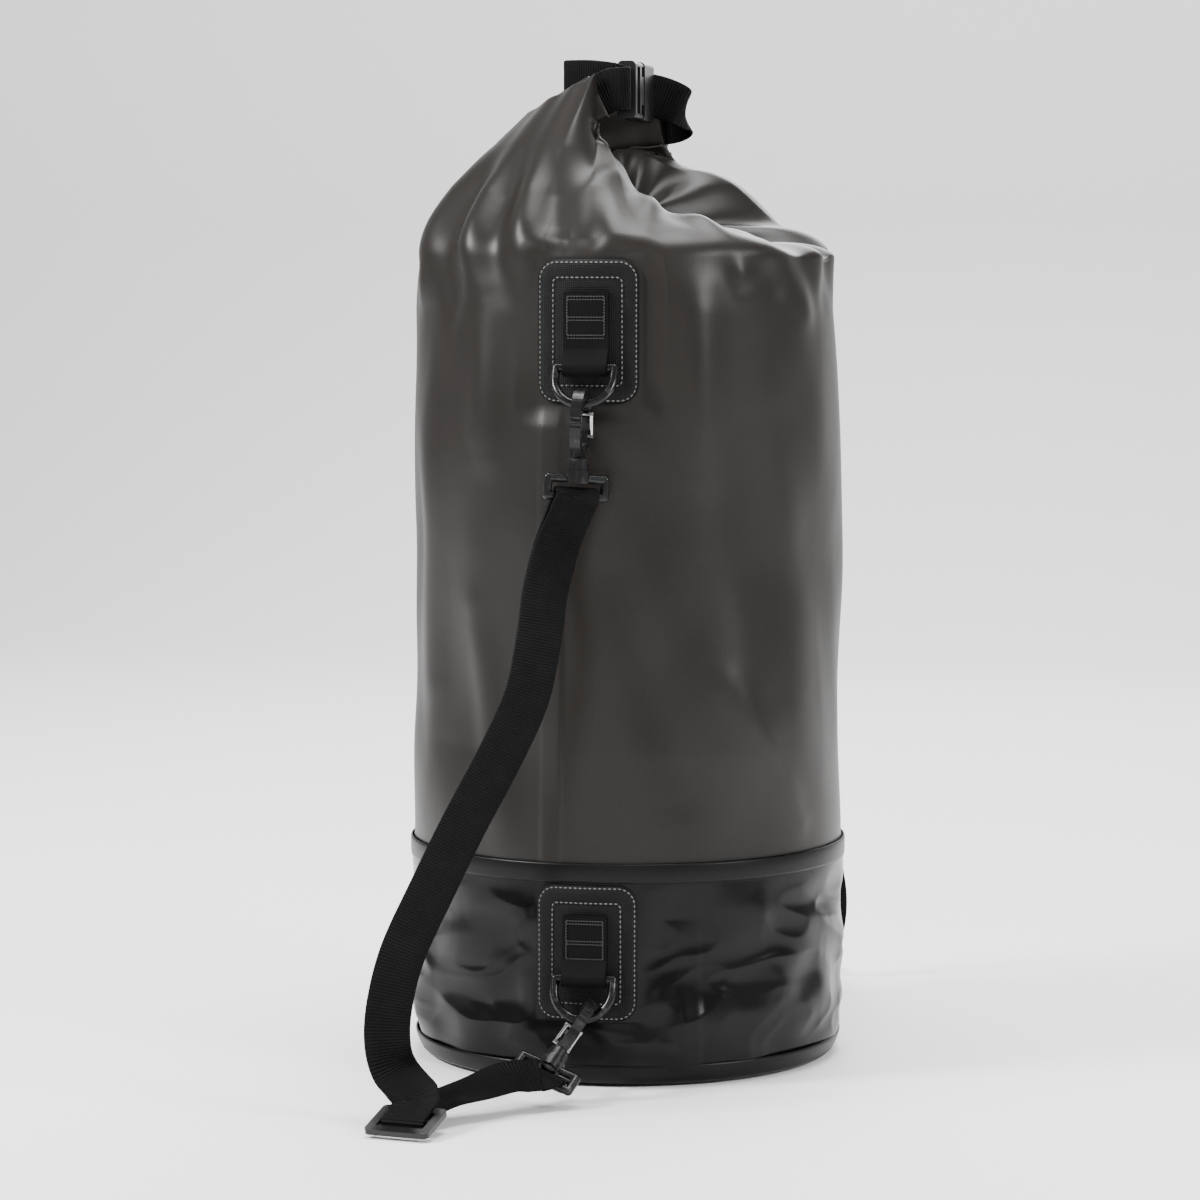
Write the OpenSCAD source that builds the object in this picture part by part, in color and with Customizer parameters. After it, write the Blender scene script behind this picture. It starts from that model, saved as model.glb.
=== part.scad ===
// Rope storage bag: a standing roll-top tube bag with welded patches, D-rings,
// swivel snap hooks and two adjustable webbing shoulder straps.
// Frame: origin at the centre of the base on the floor, +Z up, front patches face -Y.

/* [Bag] */
// Outer radius of the black boot
boot_r = 127.5; // [115:0.5:140]
// Height of the seam between the boot and the upper body
seam_z = 128; // [115:1:150]
// Height of the upper body's top edge, where the shoulder begins
shoulder_z = 467; // [400:1:520]
// How far the upper body's top edge lies inside the boot's radius
shoulder_inset = 5; // [1:0.5:14]
// Thickness of the coated fabric
fabric_t = 1.2; // [0.8:0.1:2]
// How far the boot curves in down to the base
base_inset = 10.5; // [4:0.5:18]
// Thickness of the base disc
base_t = 2.4; // [1.5:0.1:4]

/* [Roll closure] */
// Height of the rolled band, measured up its face
roll_w = 27; // [20:0.5:34]
// Thickness of the rolled band
roll_t = 10; // [7:0.5:14]
// Height of the rolled band's middle line above the shoulder, at its lowest
roll_rise = 68; // [60:1:90]
// Width of the stiffener strip inside the roll
stiffener_w = 18; // [12:0.5:20]

/* [Webbing] */
// Width of all the webbing
web_w = 25; // [20:0.5:30]
// Thickness of the webbing
web_t = 2; // [1.4:0.1:2.6]

/* [Patches] */
// Width of a welded patch
patch_w = 58; // [48:1:70]
// Height of an upper patch
patch_h = 80; // [70:1:86]
// Thickness of a patch
patch_t = 1.5; // [0.8:0.1:2.5]
// Corner radius of a patch
patch_corner = 11; // [5:0.5:16]
// Depth of the upper stations' ring bar below the shoulder
upper_bar_drop = 61; // [50:1:72]
// Height of the ring bar of the lower stations
lower_bar_z = 64; // [58:1:76]

/* [Hardware] */
// Wire diameter of a D-ring
ring_wire = 5; // [4:0.1:6]
// Width of a D-ring between the middles of its legs
ring_w = 33; // [30:0.5:38]
// Thickness of a snap hook
hook_t = 6; // [5:0.1:7]
// Radius of the window in a snap hook's bow
hook_window_r = 9.5; // [9:0.1:11]
// Width of the metal round the hook's window
hook_rim = 5.5; // [4.5:0.1:7]
// Radius of the swivel pin
swivel_r = 3; // [2.5:0.1:3.5]
// Wire diameter of a strap eye
eye_wire = 5; // [4:0.1:6]
// Clear width inside a strap eye
eye_gap = 28; // [26:0.5:34]
// Width of a strap slider
slider_w = 37; // [34:0.5:42]
// Length of a strap slider along the strap
slider_l = 30; // [28:0.5:36]
// Thickness of a strap slider
slider_t = 3; // [2.4:0.1:3.4]

/* [Buckle] */
// Width of the side-release buckle
buckle_w = 34; // [31:0.5:38]
// Thickness of the side-release buckle
buckle_t = 12; // [11:0.5:14]
// Length of the buckle's socket half
socket_l = 30; // [26:0.5:36]

/* [Hidden] */
// fineness of true curves
$fn = 64;
// gap between two pieces that lie on each other
lay_gap = 0.1;
// gap between pieces on different moving bodies
free_gap = 0.4;
// running clearance of a pin in its bore
run_gap = 0.05;
// colours
taupe = [0.29, 0.27, 0.25];
black = [0.11, 0.11, 0.11];
web_black = [0.07, 0.07, 0.07];
metal_black = [0.12, 0.12, 0.13];

// radii of the base and of the shoulder, and the height of the upper ring bars
base_r = boot_r - base_inset;
shoulder_r = boot_r - shoulder_inset;
upper_bar_z = shoulder_z - upper_bar_drop;
// upper body's outer radius at the seam, under the boot's top edge
seam_r = boot_r - fabric_t - lay_gap;
// outer radius of the upper body at a height
function body_r(z) = seam_r + (shoulder_r - seam_r) * (z - seam_z) / (shoulder_z - seam_z);
// height over which the boot curves in to the base
foot_h = 34;
// radius of the boot at a height: a quarter ellipse from the base disc to the full radius
function foot_r(z) = z >= foot_h ? boot_r
    : base_r + (boot_r - base_r) * sqrt(1 - pow(1 - z / foot_h, 2));
function mix(a, b, t) = a + (b - a) * t;
function unit(v) = v / norm(v);

// ---- sweeps ----
// one point of a Catmull-Rom curve between points b and c
function curve_point(a, b, c, d, t) = 0.5 * (2 * b + (c - a) * t
    + (2 * a - 5 * b + 4 * c - d) * t * t + (3 * b - a - 3 * c + d) * t * t * t);
// a smooth run through all the points, with a number of steps between each two
function smooth(points, steps) = let (last = len(points) - 1) [
  for (i = [0:last - 1], k = [0:steps - 1])
    curve_point(points[max(i - 1, 0)], points[i], points[i + 1],
                points[min(i + 2, last)], k / steps),
  points[last]
];
function tangent(path, i) = unit(path[min(i + 1, len(path) - 1)] - path[max(i - 1, 0)]);
// the direction across a flat strip at a point, square to its run
function across(path, ways, i) = let (t = tangent(path, i), w = ways[i]) unit(w - t * (w * t));
// the direction out of a flat strip's face
function facing(path, ways, i) = cross(tangent(path, i), across(path, ways, i));
// a closed flat strip along a path: w wide along the ways, t thick, with a bevelled edge
module strip(path, ways, w, t) {
  bevel = min(t, w) * 0.3;
  corners = [
    [w / 2 - bevel, t / 2], [w / 2, t / 2 - bevel], [w / 2, bevel - t / 2],
    [w / 2 - bevel, -t / 2], [bevel - w / 2, -t / 2], [-w / 2, bevel - t / 2],
    [-w / 2, t / 2 - bevel], [bevel - w / 2, t / 2]
  ];
  n = len(corners);
  count = len(path);
  points = [for (i = [0:count - 1], c = corners)
    path[i] + across(path, ways, i) * c[0] + facing(path, ways, i) * c[1]];
  sides = [for (i = [0:count - 2], k = [0:n - 1], half = [0, 1])
    let (a = i * n + k, b = i * n + (k + 1) % n)
      half == 0 ? [a, b, a + n] : [b, b + n, a + n]];
  start = [for (k = [1:n - 2]) [0, k + 1, k]];
  end = [for (k = [1:n - 2]) [(count - 1) * n, (count - 1) * n + k, (count - 1) * n + k + 1]];
  polyhedron(points = points, faces = concat(sides, start, end), convexity = 10);
}
// the same upright direction for every point of a path
function uprights(path) = [for (p = path) [0, 0, 1]];

// ---- bag body ----
module base_disc() {
  color(black) cylinder(r = base_r - fabric_t - lay_gap, h = base_t, $fn = 128);
}

module lower_boot() {
  steps = 8;
  outer = [for (k = [0:steps]) let (z = foot_h * k / steps) [foot_r(z), z]];
  inner = [for (k = [steps:-1:0]) let (z = foot_h * k / steps) [foot_r(z) - fabric_t, z]];
  color(black) rotate_extrude($fn = 128)
    polygon(concat(outer, [[boot_r, seam_z], [boot_r - fabric_t, seam_z]], inner));
}

// a welded tape over the boot, between two heights
module welded_tape(low, high, t) {
  steps = 4;
  heights = [for (k = [0:steps]) mix(low, high, k / steps)];
  outer = [for (z = heights) [foot_r(z) + lay_gap + t, z]];
  inner = [for (k = [steps:-1:0]) [foot_r(heights[k]) + lay_gap, heights[k]]];
  color(black) rotate_extrude($fn = 128) polygon(concat(outer, inner));
}
module bottom_band() {
  band_low = 2;
  band_high = 13;
  welded_tape(band_low, band_high, 0.8);
}
module seam_band() {
  band_h = 11;
  welded_tape(seam_z - band_h, seam_z, 0.6);
}

module upper_body() {
  // depth that the upper body runs down inside the boot
  tuck = 18;
  low = seam_z - tuck;
  color(taupe) rotate_extrude($fn = 128) polygon([
    [seam_r, low], [seam_r, seam_z], [shoulder_r, shoulder_z],
    [shoulder_r - fabric_t, shoulder_z], [seam_r - fabric_t, seam_z], [seam_r - fabric_t, low]
  ]);
}

// middle line of the rolled mouth: near end, round the left side, to the far end
roll_mid_z = shoulder_z + roll_rise;
roll_points = [
  [-9, -38, roll_mid_z + 25], [-28, -34, roll_mid_z + 15], [-46, -21, roll_mid_z + 5],
  [-53, 0, roll_mid_z], [-46, 22, roll_mid_z + 2], [-26, 38, roll_mid_z + 7],
  [-4, 46, roll_mid_z + 10], [12, 47, roll_mid_z + 12]
];
roll_path = smooth(roll_points, 5);

module mouth_roll() {
  wrap = 2.2;
  inside = [for (i = [1:len(roll_path) - 2]) roll_path[i]];
  color(taupe) difference() {
    strip(roll_path, uprights(roll_path), roll_w, roll_t);
    strip(inside, uprights(inside), stiffener_w + wrap, roll_t / 3);
  }
}
module roll_stiffener() {
  kept = [for (i = [2:len(roll_path) - 3]) roll_path[i]];
  color(black) strip(kept, uprights(kept), stiffener_w, roll_t / 3 - 2 * free_gap);
}

// gap between the roof's top edge and the rolled mouth
mouth_gap = 1.4;
// the rolled band's own upright at each point of its line
roll_across = [for (i = [0:len(roll_path) - 1]) across(roll_path, uprights(roll_path), i)];
// a value along a list of the mouth's line; u runs 0 to 1 from the near end to the far end
function along(list, u) = let (f = u * (len(list) - 1), i = min(floor(f), len(list) - 2))
    mix(list[i], list[i + 1], f - i);
// a point of the roof: a is its angle round the bag, t its way up, s how far inside the face
function roof_point(a, t, s) = let (
    u = (1 + sin(a)) / 2,
    m = along(roll_path, u) - along(roll_across, u) * (roll_w / 2 + mouth_gap),
    side = [cos(a), sin(a) / 3, 0] * (roll_t * 0.32 - s),
    top = m + side,
    foot = [cos(a) * (shoulder_r - s), sin(a) * (shoulder_r - s), shoulder_z + lay_gap],
    flat = pow(t, 1.12),
    rise = mix(sin(90 * t), t, 0.85))
  [mix(foot[0], top[0], flat), mix(foot[1], top[1], flat), mix(foot[2], top[2], rise)];
module roof() {
  turns = 64;
  rows = 12;
  ring = rows + 1;
  layer = turns * ring;
  points = [for (s = [0, fabric_t], i = [0:turns - 1], k = [0:rows])
    roof_point(360 * i / turns, k / rows, s)];
  faces = [for (i = [0:turns - 1], k = [0:rows - 1], half = [0, 1])
    let (a = i * ring + k, b = ((i + 1) % turns) * ring + k)
      half == 0 ? [a, a + 1, b] : [b, a + 1, b + 1]];
  inner = [for (f = faces) [f[2] + layer, f[1] + layer, f[0] + layer]];
  rims = [for (i = [0:turns - 1], half = [0, 1])
    let (a = i * ring, b = ((i + 1) % turns) * ring)
      half == 0 ? [a, b, a + layer] : [b, b + layer, a + layer]];
  tops = [for (f = rims) [f[0] + rows, f[2] + rows, f[1] + rows]];
  color(taupe) polyhedron(points = points, faces = concat(faces, inner, rims, tops), convexity = 8);
}

// ---- stations: patch, tab, ring, hook ----
// outer face of a patch at its middle
function patch_face(z, low) = (low ? boot_r : body_r(z - 20)) + 2 * lay_gap + patch_t;
// radius of the ring bar's middle from the bag's axis
tab_bore = ring_wire / 2 + free_gap;
tab_r = tab_bore + web_t;
function bar_r(z, low) = patch_face(z, low) + tab_r + lay_gap;

// puts a station's piece on its side of the bag: side 0 is the front, 1 the back
module on_side(side) {
  rotate([0, 0, 180 * side]) children();
}
module patch(side, low) {
  // the ring bar's depth below the patch's top edge, and how much shorter a lower patch is
  bar_depth = low ? 52 : 60;
  shorter = low ? 3 : 0;
  top = (low ? lower_bar_z : upper_bar_z) + bar_depth;
  high = patch_h - shorter;
  on_side(side) color(black) intersection() {
    translate([0, 0, top - high / 2]) rotate([90, 0, 0])
      linear_extrude(boot_r + 20) rounded(patch_w, high, patch_corner);
    if (low) {
      skin(boot_r, boot_r, 0, seam_z + 20);
    } else {
      skin(body_r(seam_z), body_r(shoulder_z), seam_z, shoulder_z);
    }
  }
}
// a conical layer of patch material that lies on the bag between two heights
module skin(r_low, r_high, low, high) {
  rotate_extrude($fn = 128) polygon([
    [r_low + 2 * lay_gap, low], [r_low + 2 * lay_gap + patch_t, low],
    [r_high + 2 * lay_gap + patch_t, high], [r_high + 2 * lay_gap, high]
  ]);
}
module rounded(w, h, r) {
  hull() for (x = [-1, 1], y = [-1, 1])
    translate([x * (w / 2 - r), y * (h / 2 - r)]) circle(r = r, $fn = 32);
}

// webbing tab folded round the ring's bar and sewn flat to the patch above it
module tab(side, low) {
  z = low ? lower_bar_z : upper_bar_z;
  // height of the sewn part above the ring's bar
  rise = low ? 35 : 42;
  on_side(side) color(web_black) translate([web_w / 2, -bar_r(z, low), z])
    rotate([0, -90, 0]) linear_extrude(web_w) difference() {
      union() {
        circle(r = tab_r);
        translate([0, tab_r - 2 * web_t]) square([rise, 2 * web_t]);
        hull() {
          circle(r = tab_r);
          translate([tab_r * 2, tab_r - 2 * web_t]) square([1, 2 * web_t]);
        }
      }
      circle(r = tab_bore);
    }
}

ring_drop = 6.5;
ring_bow = ring_w / 2;
// a D-ring hanging from its bar, in its own frame: bar along X, bow below
module d_ring() {
  wire_r = ring_wire / 2;
  rotate([0, 90, 0]) cylinder(r = wire_r, h = ring_w, center = true);
  for (x = [-1, 1]) {
    translate([x * ring_bow, 0, 0]) sphere(r = wire_r, $fn = 32);
    translate([x * ring_bow, 0, -ring_drop]) cylinder(r = wire_r, h = ring_drop);
  }
  translate([0, 0, -ring_drop]) rotate([-90, 0, 0])
    rotate_extrude(angle = 180) translate([ring_bow, 0]) circle(r = wire_r, $fn = 32);
}

// how far a ring leans out, the hook's lean out, its lean aside, its turn on the pin,
// and the strap eye's turn, for the upper and lower stations
ring_lean = [30, 23];
hook_out = [3, 54];
hook_aside = [3, 18];
hook_turn = [0, 32];
eye_turn = [28, 12];
// frame of a ring: origin at its bar
module ring_frame(side, low) {
  z = low ? lower_bar_z : upper_bar_z;
  on_side(side) translate([0, -bar_r(z, low), z]) rotate([-ring_lean[low ? 1 : 0], 0, 0]) children();
}
// clearance between the bow's wire and the top of the hook's window, and the further
// slack of the upper and lower hooks on their rings
link_gap = 1;
link_slack = [0, 2.8];
// frame of a hook: origin at the ring wire it hangs on, hook running down
module hook_frame(side, low) {
  k = low ? 1 : 0;
  ring_frame(side, low) translate([0, 0, -ring_drop - ring_bow])
    rotate([ring_lean[k] - hook_out[k], 0, 0]) rotate([0, hook_aside[k], 0])
      translate([0, 0, link_slack[k]]) children();
}
module ring(side, low) {
  color(metal_black) ring_frame(side, low) d_ring();
}

// height of the window's bow centre and of the swivel below the wire
window_mid = -(hook_window_r - ring_wire / 2 - link_gap);
window_low = window_mid - 10;
hook_outer = hook_window_r + hook_rim;
hook_base = window_low - hook_outer + 1.5;
shank_l = 10;
gate_wire = 1.1;
gate_x = hook_window_r + hook_rim * 0.36;
gate_low = window_low - 1;
nose_z = window_mid - 1;
// one side view of the hook, opened on the gate's side
module hook_outline() {
  notch = 1.6;
  difference() {
    hull() {
      translate([0, window_mid]) circle(r = hook_outer, $fn = 48);
      translate([0, window_low]) circle(r = hook_outer - 2, $fn = 48);
      translate([-5, hook_base]) square([10, 2]);
    }
    hull() {
      translate([0, window_mid]) circle(r = hook_window_r, $fn = 48);
      translate([0, window_low]) circle(r = hook_window_r - 1, $fn = 48);
    }
    translate([hook_window_r - 4, gate_low + 3])
      square([hook_rim + 8, nose_z - gate_low - 3]);
    for (i = [0:4]) {
      translate([-hook_outer, window_mid - 2 - 4 * i]) circle(r = notch, $fn = 24);
    }
  }
}
module hook(side, low) {
  color(metal_black) hook_frame(side, low) rotate([0, 0, 90 + hook_turn[low ? 1 : 0]]) {
    difference() {
      rotate([90, 0, 0]) linear_extrude(hook_t, center = true) hook_outline();
      translate([gate_x, 0, gate_low]) rotate([90, 0, 0])
        cylinder(r = gate_wire + run_gap, h = hook_t + 4, center = true);
    }
    translate([0, 0, hook_base - shank_l]) cylinder(r = swivel_r, h = shank_l + 1);
    translate([0, 0, hook_base - shank_l - 2]) cylinder(r = swivel_r + 1.2, h = 2);
  }
}
// wire gate: a hinge pin, two arms beside the hook and a bridge inside the nose
module gate(side, low) {
  arm_y = hook_t / 2 + gate_wire + free_gap;
  // height of the bridge above the middle of the window's bow
  bridge_rise = 1;
  bridge_x = sqrt(pow(hook_window_r - gate_wire - free_gap, 2) - pow(bridge_rise, 2));
  bridge_z = window_mid + bridge_rise;
  reach = [bridge_x - gate_x, 0, bridge_z - gate_low];
  color(metal_black) hook_frame(side, low) rotate([0, 0, 90 + hook_turn[low ? 1 : 0]]) {
    for (end = [[gate_x, gate_low], [bridge_x, bridge_z]]) {
      translate([end[0], 0, end[1]]) rotate([90, 0, 0])
        cylinder(r = gate_wire, h = 2 * (arm_y + gate_wire), center = true);
    }
    for (s = [-1, 1]) {
      translate([gate_x, s * arm_y, gate_low])
        rotate([0, atan2(reach[0], reach[2]), 0])
          cylinder(r = gate_wire - 0.15, h = norm(reach));
    }
  }
}

collar_r = 6;
collar_top = hook_base - free_gap;
collar_h = 7;
eye_half = eye_gap / 2 + eye_wire / 2;
eye_drop = 10;
eye_top = collar_top - collar_h - 4;
eye_bar_z = eye_top - eye_drop;
// strap eye: a bored swivel collar on a rectangular wire loop, with a roomy well for the pin's head
module eye(side, low) {
  wire_r = eye_wire / 2;
  color(metal_black) hook_frame(side, low) rotate([0, 0, eye_turn[low ? 1 : 0]]) {
    difference() {
      union() {
        translate([0, 0, collar_top - collar_h]) cylinder(r = collar_r, h = collar_h);
        translate([0, 0, eye_top - wire_r]) cylinder(r = collar_r + 1, h = 4 + wire_r + 0.5);
      }
      translate([0, 0, eye_top]) cylinder(r = swivel_r + run_gap, h = collar_h + 8);
      translate([0, 0, eye_top - wire_r - 1])
        cylinder(r = swivel_r + 1.2 + free_gap, h = 1 + wire_r + collar_h + 4 - shank_l + 1.2);
    }
    for (s = [-1, 1]) {
      translate([s * (eye_half + collar_r) / 2, 0, eye_top]) rotate([0, 90, 0])
        cylinder(r = wire_r, h = eye_half - collar_r, center = true);
      translate([s * eye_half, 0, eye_bar_z]) cylinder(r = wire_r, h = eye_drop);
      for (z = [eye_top, eye_bar_z]) {
        translate([s * eye_half, 0, z]) sphere(r = wire_r, $fn = 32);
      }
    }
    translate([0, 0, eye_bar_z]) rotate([0, 90, 0]) cylinder(r = wire_r, h = 2 * eye_half, center = true);
  }
}

// ---- shoulder straps ----
// a vector turned about X, Y or Z by an angle
function about_x(v, a) = [v[0], v[1] * cos(a) - v[2] * sin(a), v[1] * sin(a) + v[2] * cos(a)];
function about_y(v, a) = [v[0] * cos(a) + v[2] * sin(a), v[1], v[2] * cos(a) - v[0] * sin(a)];
function about_z(v, a) = [v[0] * cos(a) - v[1] * sin(a), v[0] * sin(a) + v[1] * cos(a), v[2]];
// a direction in a front hook's frame, given in the row's frame; k is 0 above and 1 below
function hook_way(v, k) = about_x(about_y(about_z(v, eye_turn[k]), hook_aside[k]), -hook_out[k]);
function wire_at(k) = let (z = k == 1 ? lower_bar_z : upper_bar_z)
    [0, -bar_r(z, k == 1), z] + about_x([0, 0, -ring_drop - ring_bow], -ring_lean[k]);
// middle of a front strap eye's bar
function eye_at(k) = wire_at(k) + hook_way([0, 0, eye_bar_z + link_slack[k]], k);
// distance of the webbing's middle line from a wire it runs round
turn_r = eye_wire / 2 + 2 * free_gap + web_t / 2;
// a point on the webbing's turn round an eye's bar; a is 0 outward, 90 up towards the hook
function turn_at(k, a) = eye_at(k) + hook_way([0, -cos(a) * turn_r, sin(a) * turn_r], k);

// where the slider lies, its run (towards its front edge), its width and its face
slider_tilt = 15;
slider_at = [-72, -261, 7.4];
slider_head = about_z([0, -1, 0], -10);
slider_run = slider_head * cos(slider_tilt) - [0, 0, sin(slider_tilt)];
slider_across = about_z([1, 0, 0], -10);
slider_face = cross(slider_across, slider_run) * -1;
function on_slider(u, n) = slider_at + slider_run * u + slider_face * n;
slider_bar = 4;
slider_rail = (slider_l - slider_bar) / 2 - 7;
lift = slider_t / 2 + free_gap + web_t / 2;

// outer layer of the strap, from under the upper eye down to the slider
outer_points = [
  [-12, -149, 308], [-17, -157, 283], [-19, -165, 258], [-24, -174, 227], [-36, -187, 196],
  [-53, -202, 160], [-68, -217, 125], [-81, -229, 93], [-87, -235, 66], [-88, -237, 45],
  [-84, -236, 29]
];
// gap between the middle lines of the two layers, at each of those points
layer_gaps = [5, 3.4, 3.2, 3.2, 3.2, 3.2, 3.2, 3.2, 3.2, 3.2, 3.2];
outer_ways = [for (i = [0:len(outer_points) - 1]) about_z([1, 0, 0], mix(24, 10, i / 10))];
inner_points = [for (i = [0:len(outer_points) - 1])
  outer_points[i] - facing(outer_points, outer_ways, i) * layer_gaps[i]
    * sign(facing(outer_points, outer_ways, i) * [0, -1, 0.2])];
// single layer, from behind the slider to the lower eye
short_points = [[-59, -226, 13], [-44, -209, 16], [-31, -193, 19]];
// two points that lead from a turn round a wire into the strap's long run
function lead(from, to) = [mix(from, to, 0.12), mix(from, to, 0.38)];
upper_in = lead(turn_at(0, 180), inner_points[0]);
upper_out = lead(turn_at(0, 0), outer_points[0]);
lower_in = lead(turn_at(1, 0), short_points[2]);
eye_ways = [hook_way([1, 0, 0], 0), hook_way([1, 0, 0], 1)];
strap_knots = concat(
  [on_slider(-slider_l / 2 - 6, 2)],
  [for (i = [len(inner_points) - 1:-1:0]) inner_points[i]],
  [upper_in[1], upper_in[0]],
  [turn_at(0, 180), turn_at(0, 135), turn_at(0, 90), turn_at(0, 45), turn_at(0, 0)],
  upper_out,
  outer_points,
  [on_slider(-slider_l / 2 - 2, lift + 3.8), on_slider(-10, lift + 0.9), on_slider(-5, lift),
   on_slider(0, lift),
   on_slider(3.5, lift * 0.72), on_slider(4.9, 0), on_slider(3.5, -lift * 0.72),
   on_slider(0, -lift), on_slider(-8, -lift), on_slider(-slider_l / 2 - 3, -lift)],
  short_points,
  [lower_in[1], lower_in[0]],
  [turn_at(1, 0), turn_at(1, 45), turn_at(1, 90), turn_at(1, 135), turn_at(1, 180)]
);
strap_ways = concat(
  [slider_across],
  [for (i = [len(inner_points) - 1:-1:0]) outer_ways[i]],
  [for (i = [0:8]) eye_ways[0]],
  outer_ways,
  [for (i = [0:9]) slider_across],
  [about_z([1, 0, -0.1], -28), about_z([1, 0, -0.25], -24), about_z([1, 0, -0.4], -16)],
  [for (i = [0:6]) eye_ways[1]]
);
module strap(side) {
  steps = 4;
  on_side(side) color(web_black)
    strip(smooth(strap_knots, steps), smooth(strap_ways, steps), web_w, web_t);
}
// flat slider with two slots, lying on the strap's bend
module slider(side) {
  slot_w = web_w + 2;
  slot_l = (slider_l - slider_bar) / 2 - slider_rail;
  on_side(side) color(metal_black) translate(slider_at) rotate([0, 0, -10])
    rotate([slider_tilt, 0, 0]) translate([0, 0, -slider_t / 2]) linear_extrude(slider_t)
      difference() {
        rounded(slider_w, slider_l, 3);
        for (s = [-1, 1]) {
          translate([0, s * (slider_bar + slot_l) / 2]) square([slot_w, slot_l], center = true);
        }
      }
}

// ---- closure ----
buckle_at = [3.5, 2, roll_mid_z + 29];
cavity_w = buckle_w - 6;
cavity_t = buckle_t - 5;
prong_t = cavity_t - 2 * free_gap;
prong_w = 5;
prong_l = 21;
module along_y(length) {
  rotate([-90, 0, 0]) linear_extrude(length) children();
}
module buckle_socket() {
  wall = 3;
  window_l = 8;
  color(black) translate(buckle_at) difference() {
    along_y(socket_l) rounded(buckle_t, buckle_w, 3);
    translate([0, -1, 0]) along_y(socket_l - wall - 5)
      square([cavity_t, cavity_w], center = true);
    translate([0, prong_l - window_l / 2 - 1, 0]) cube([cavity_t, window_l, buckle_w + 2], center = true);
  }
}
// plug body with its webbing slot and centre tongue
module buckle_plug() {
  body_l = 26;
  slot_l = 9;
  notch_l = 14;
  tongue_w = 5;
  color(black) translate(buckle_at) {
    difference() {
      translate([0, -body_l - free_gap, 0]) along_y(body_l) rounded(buckle_t - 1, buckle_w - 1, 3);
      translate([0, -body_l + slot_l, 0]) cube([buckle_t + 1, slot_l, web_w + 2], center = true);
      for (s = [-1, 1]) {
        translate([0, -free_gap, s * (cavity_w - prong_w - 1) / 2])
          cube([buckle_t + 1, notch_l, prong_w + 2 * free_gap], center = true);
      }
    }
    translate([-prong_t / 2, -1, -tongue_w / 2]) cube([prong_t, prong_l - 2, tongue_w]);
  }
}
// a sprung prong with its barb in the socket's window; way is 1 above, -1 below
module buckle_prong(way) {
  // the round root that the prong springs from, and the barb's height
  root = -4;
  root_r = prong_w / 2 - 0.1;
  barb = 2.6;
  color(black) translate(buckle_at) scale([1, 1, way])
    translate([-prong_t / 2, 0, (cavity_w - 1) / 2 - prong_w]) rotate([90, 0, 90])
      linear_extrude(prong_t) {
        polygon([
          [root, 0.4], [prong_l - 2, 1.6], [prong_l - 3, prong_w + barb],
          [prong_l - 7, prong_w + barb], [prong_l - 8, prong_w - 0.4], [root, prong_w - 0.4]
        ]);
        translate([root, prong_w / 2]) circle(r = root_r);
      }
}
near_end = roll_path[0];
far_end = roll_path[len(roll_path) - 1];
buckle_z = buckle_at[2];
// ways out of the band's two ends
near_way = unit(near_end - roll_path[1]);
far_way = unit(far_end - roll_path[len(roll_path) - 2]);
closure_near_path = smooth([
  near_end + near_way * 1.3, near_end + near_way * 6, [2.5, -38, buckle_z - 0.5],
  [6.5, -33.5, buckle_z], [5, -28.5, buckle_z], [3.8, -26, buckle_z]
], 4);
closure_far_path = smooth([
  far_end + far_way * 1.5, far_end + far_way * 7, [25, 45.5, mix(far_end[2], buckle_z, 0.25)],
  [24, 40, mix(far_end[2], buckle_z, 0.55)], [14, 37, mix(far_end[2], buckle_z, 0.85)],
  [4.2, 34.4, buckle_z]
], 4);
closure_tail_path = smooth([
  [0, -29.5, buckle_z + 1.5], [-6, -30.5, buckle_z + 3], [-18, -25.5, buckle_z + 4.5],
  [-32, -17, buckle_z + 5], [-34.5, -13, buckle_z + 5], [-30, -12.2, buckle_z + 5],
  [-22, -18, buckle_z + 5]
], 4);
module closure_web_near() {
  color(web_black) strip(closure_near_path, uprights(closure_near_path), web_w, web_t);
}
module closure_web_far() {
  color(web_black) strip(closure_far_path, uprights(closure_far_path), web_w, web_t);
}
module closure_tail() {
  color(web_black) strip(closure_tail_path, uprights(closure_tail_path), web_w, web_t);
}

base_disc();
lower_boot();
bottom_band();
seam_band();
upper_body();
roof();
mouth_roll();
roll_stiffener();
patch(0, false);  // patch_front_upper
patch(0, true);  // patch_front_lower
patch(1, false);  // patch_back_upper
patch(1, true);  // patch_back_lower
tab(0, false);  // tab_front_upper
tab(0, true);  // tab_front_lower
tab(1, false);  // tab_back_upper
tab(1, true);  // tab_back_lower
ring(0, false);  // ring_front_upper
ring(0, true);  // ring_front_lower
ring(1, false);  // ring_back_upper
ring(1, true);  // ring_back_lower
hook(0, false);  // hook_front_upper
hook(0, true);  // hook_front_lower
hook(1, false);  // hook_back_upper
hook(1, true);  // hook_back_lower
gate(0, false);  // gate_front_upper
gate(0, true);  // gate_front_lower
gate(1, false);  // gate_back_upper
gate(1, true);  // gate_back_lower
eye(0, false);  // eye_front_upper
eye(0, true);  // eye_front_lower
eye(1, false);  // eye_back_upper
eye(1, true);  // eye_back_lower
strap(0);  // strap_front
strap(1);  // strap_back
slider(0);  // slider_front
slider(1);  // slider_back
closure_web_near();
closure_web_far();
closure_tail();
buckle_socket();
buckle_plug();
buckle_prong(1);  // buckle_prong_upper
buckle_prong(-1);  // buckle_prong_lower
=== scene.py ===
"""Rope storage bag: a standing roll-top tube bag with D-rings, snap hooks and shoulder straps.

Everything is in metres, in the frame that the CAD model uses: the origin is the middle of the
base on the floor, +Z is up, and the front patches face -Y.
"""

import logging
import math
from dataclasses import dataclass, field
from enum import Enum
from typing import Callable, Sequence

import bpy
import numpy as np
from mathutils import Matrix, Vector, noise

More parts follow.
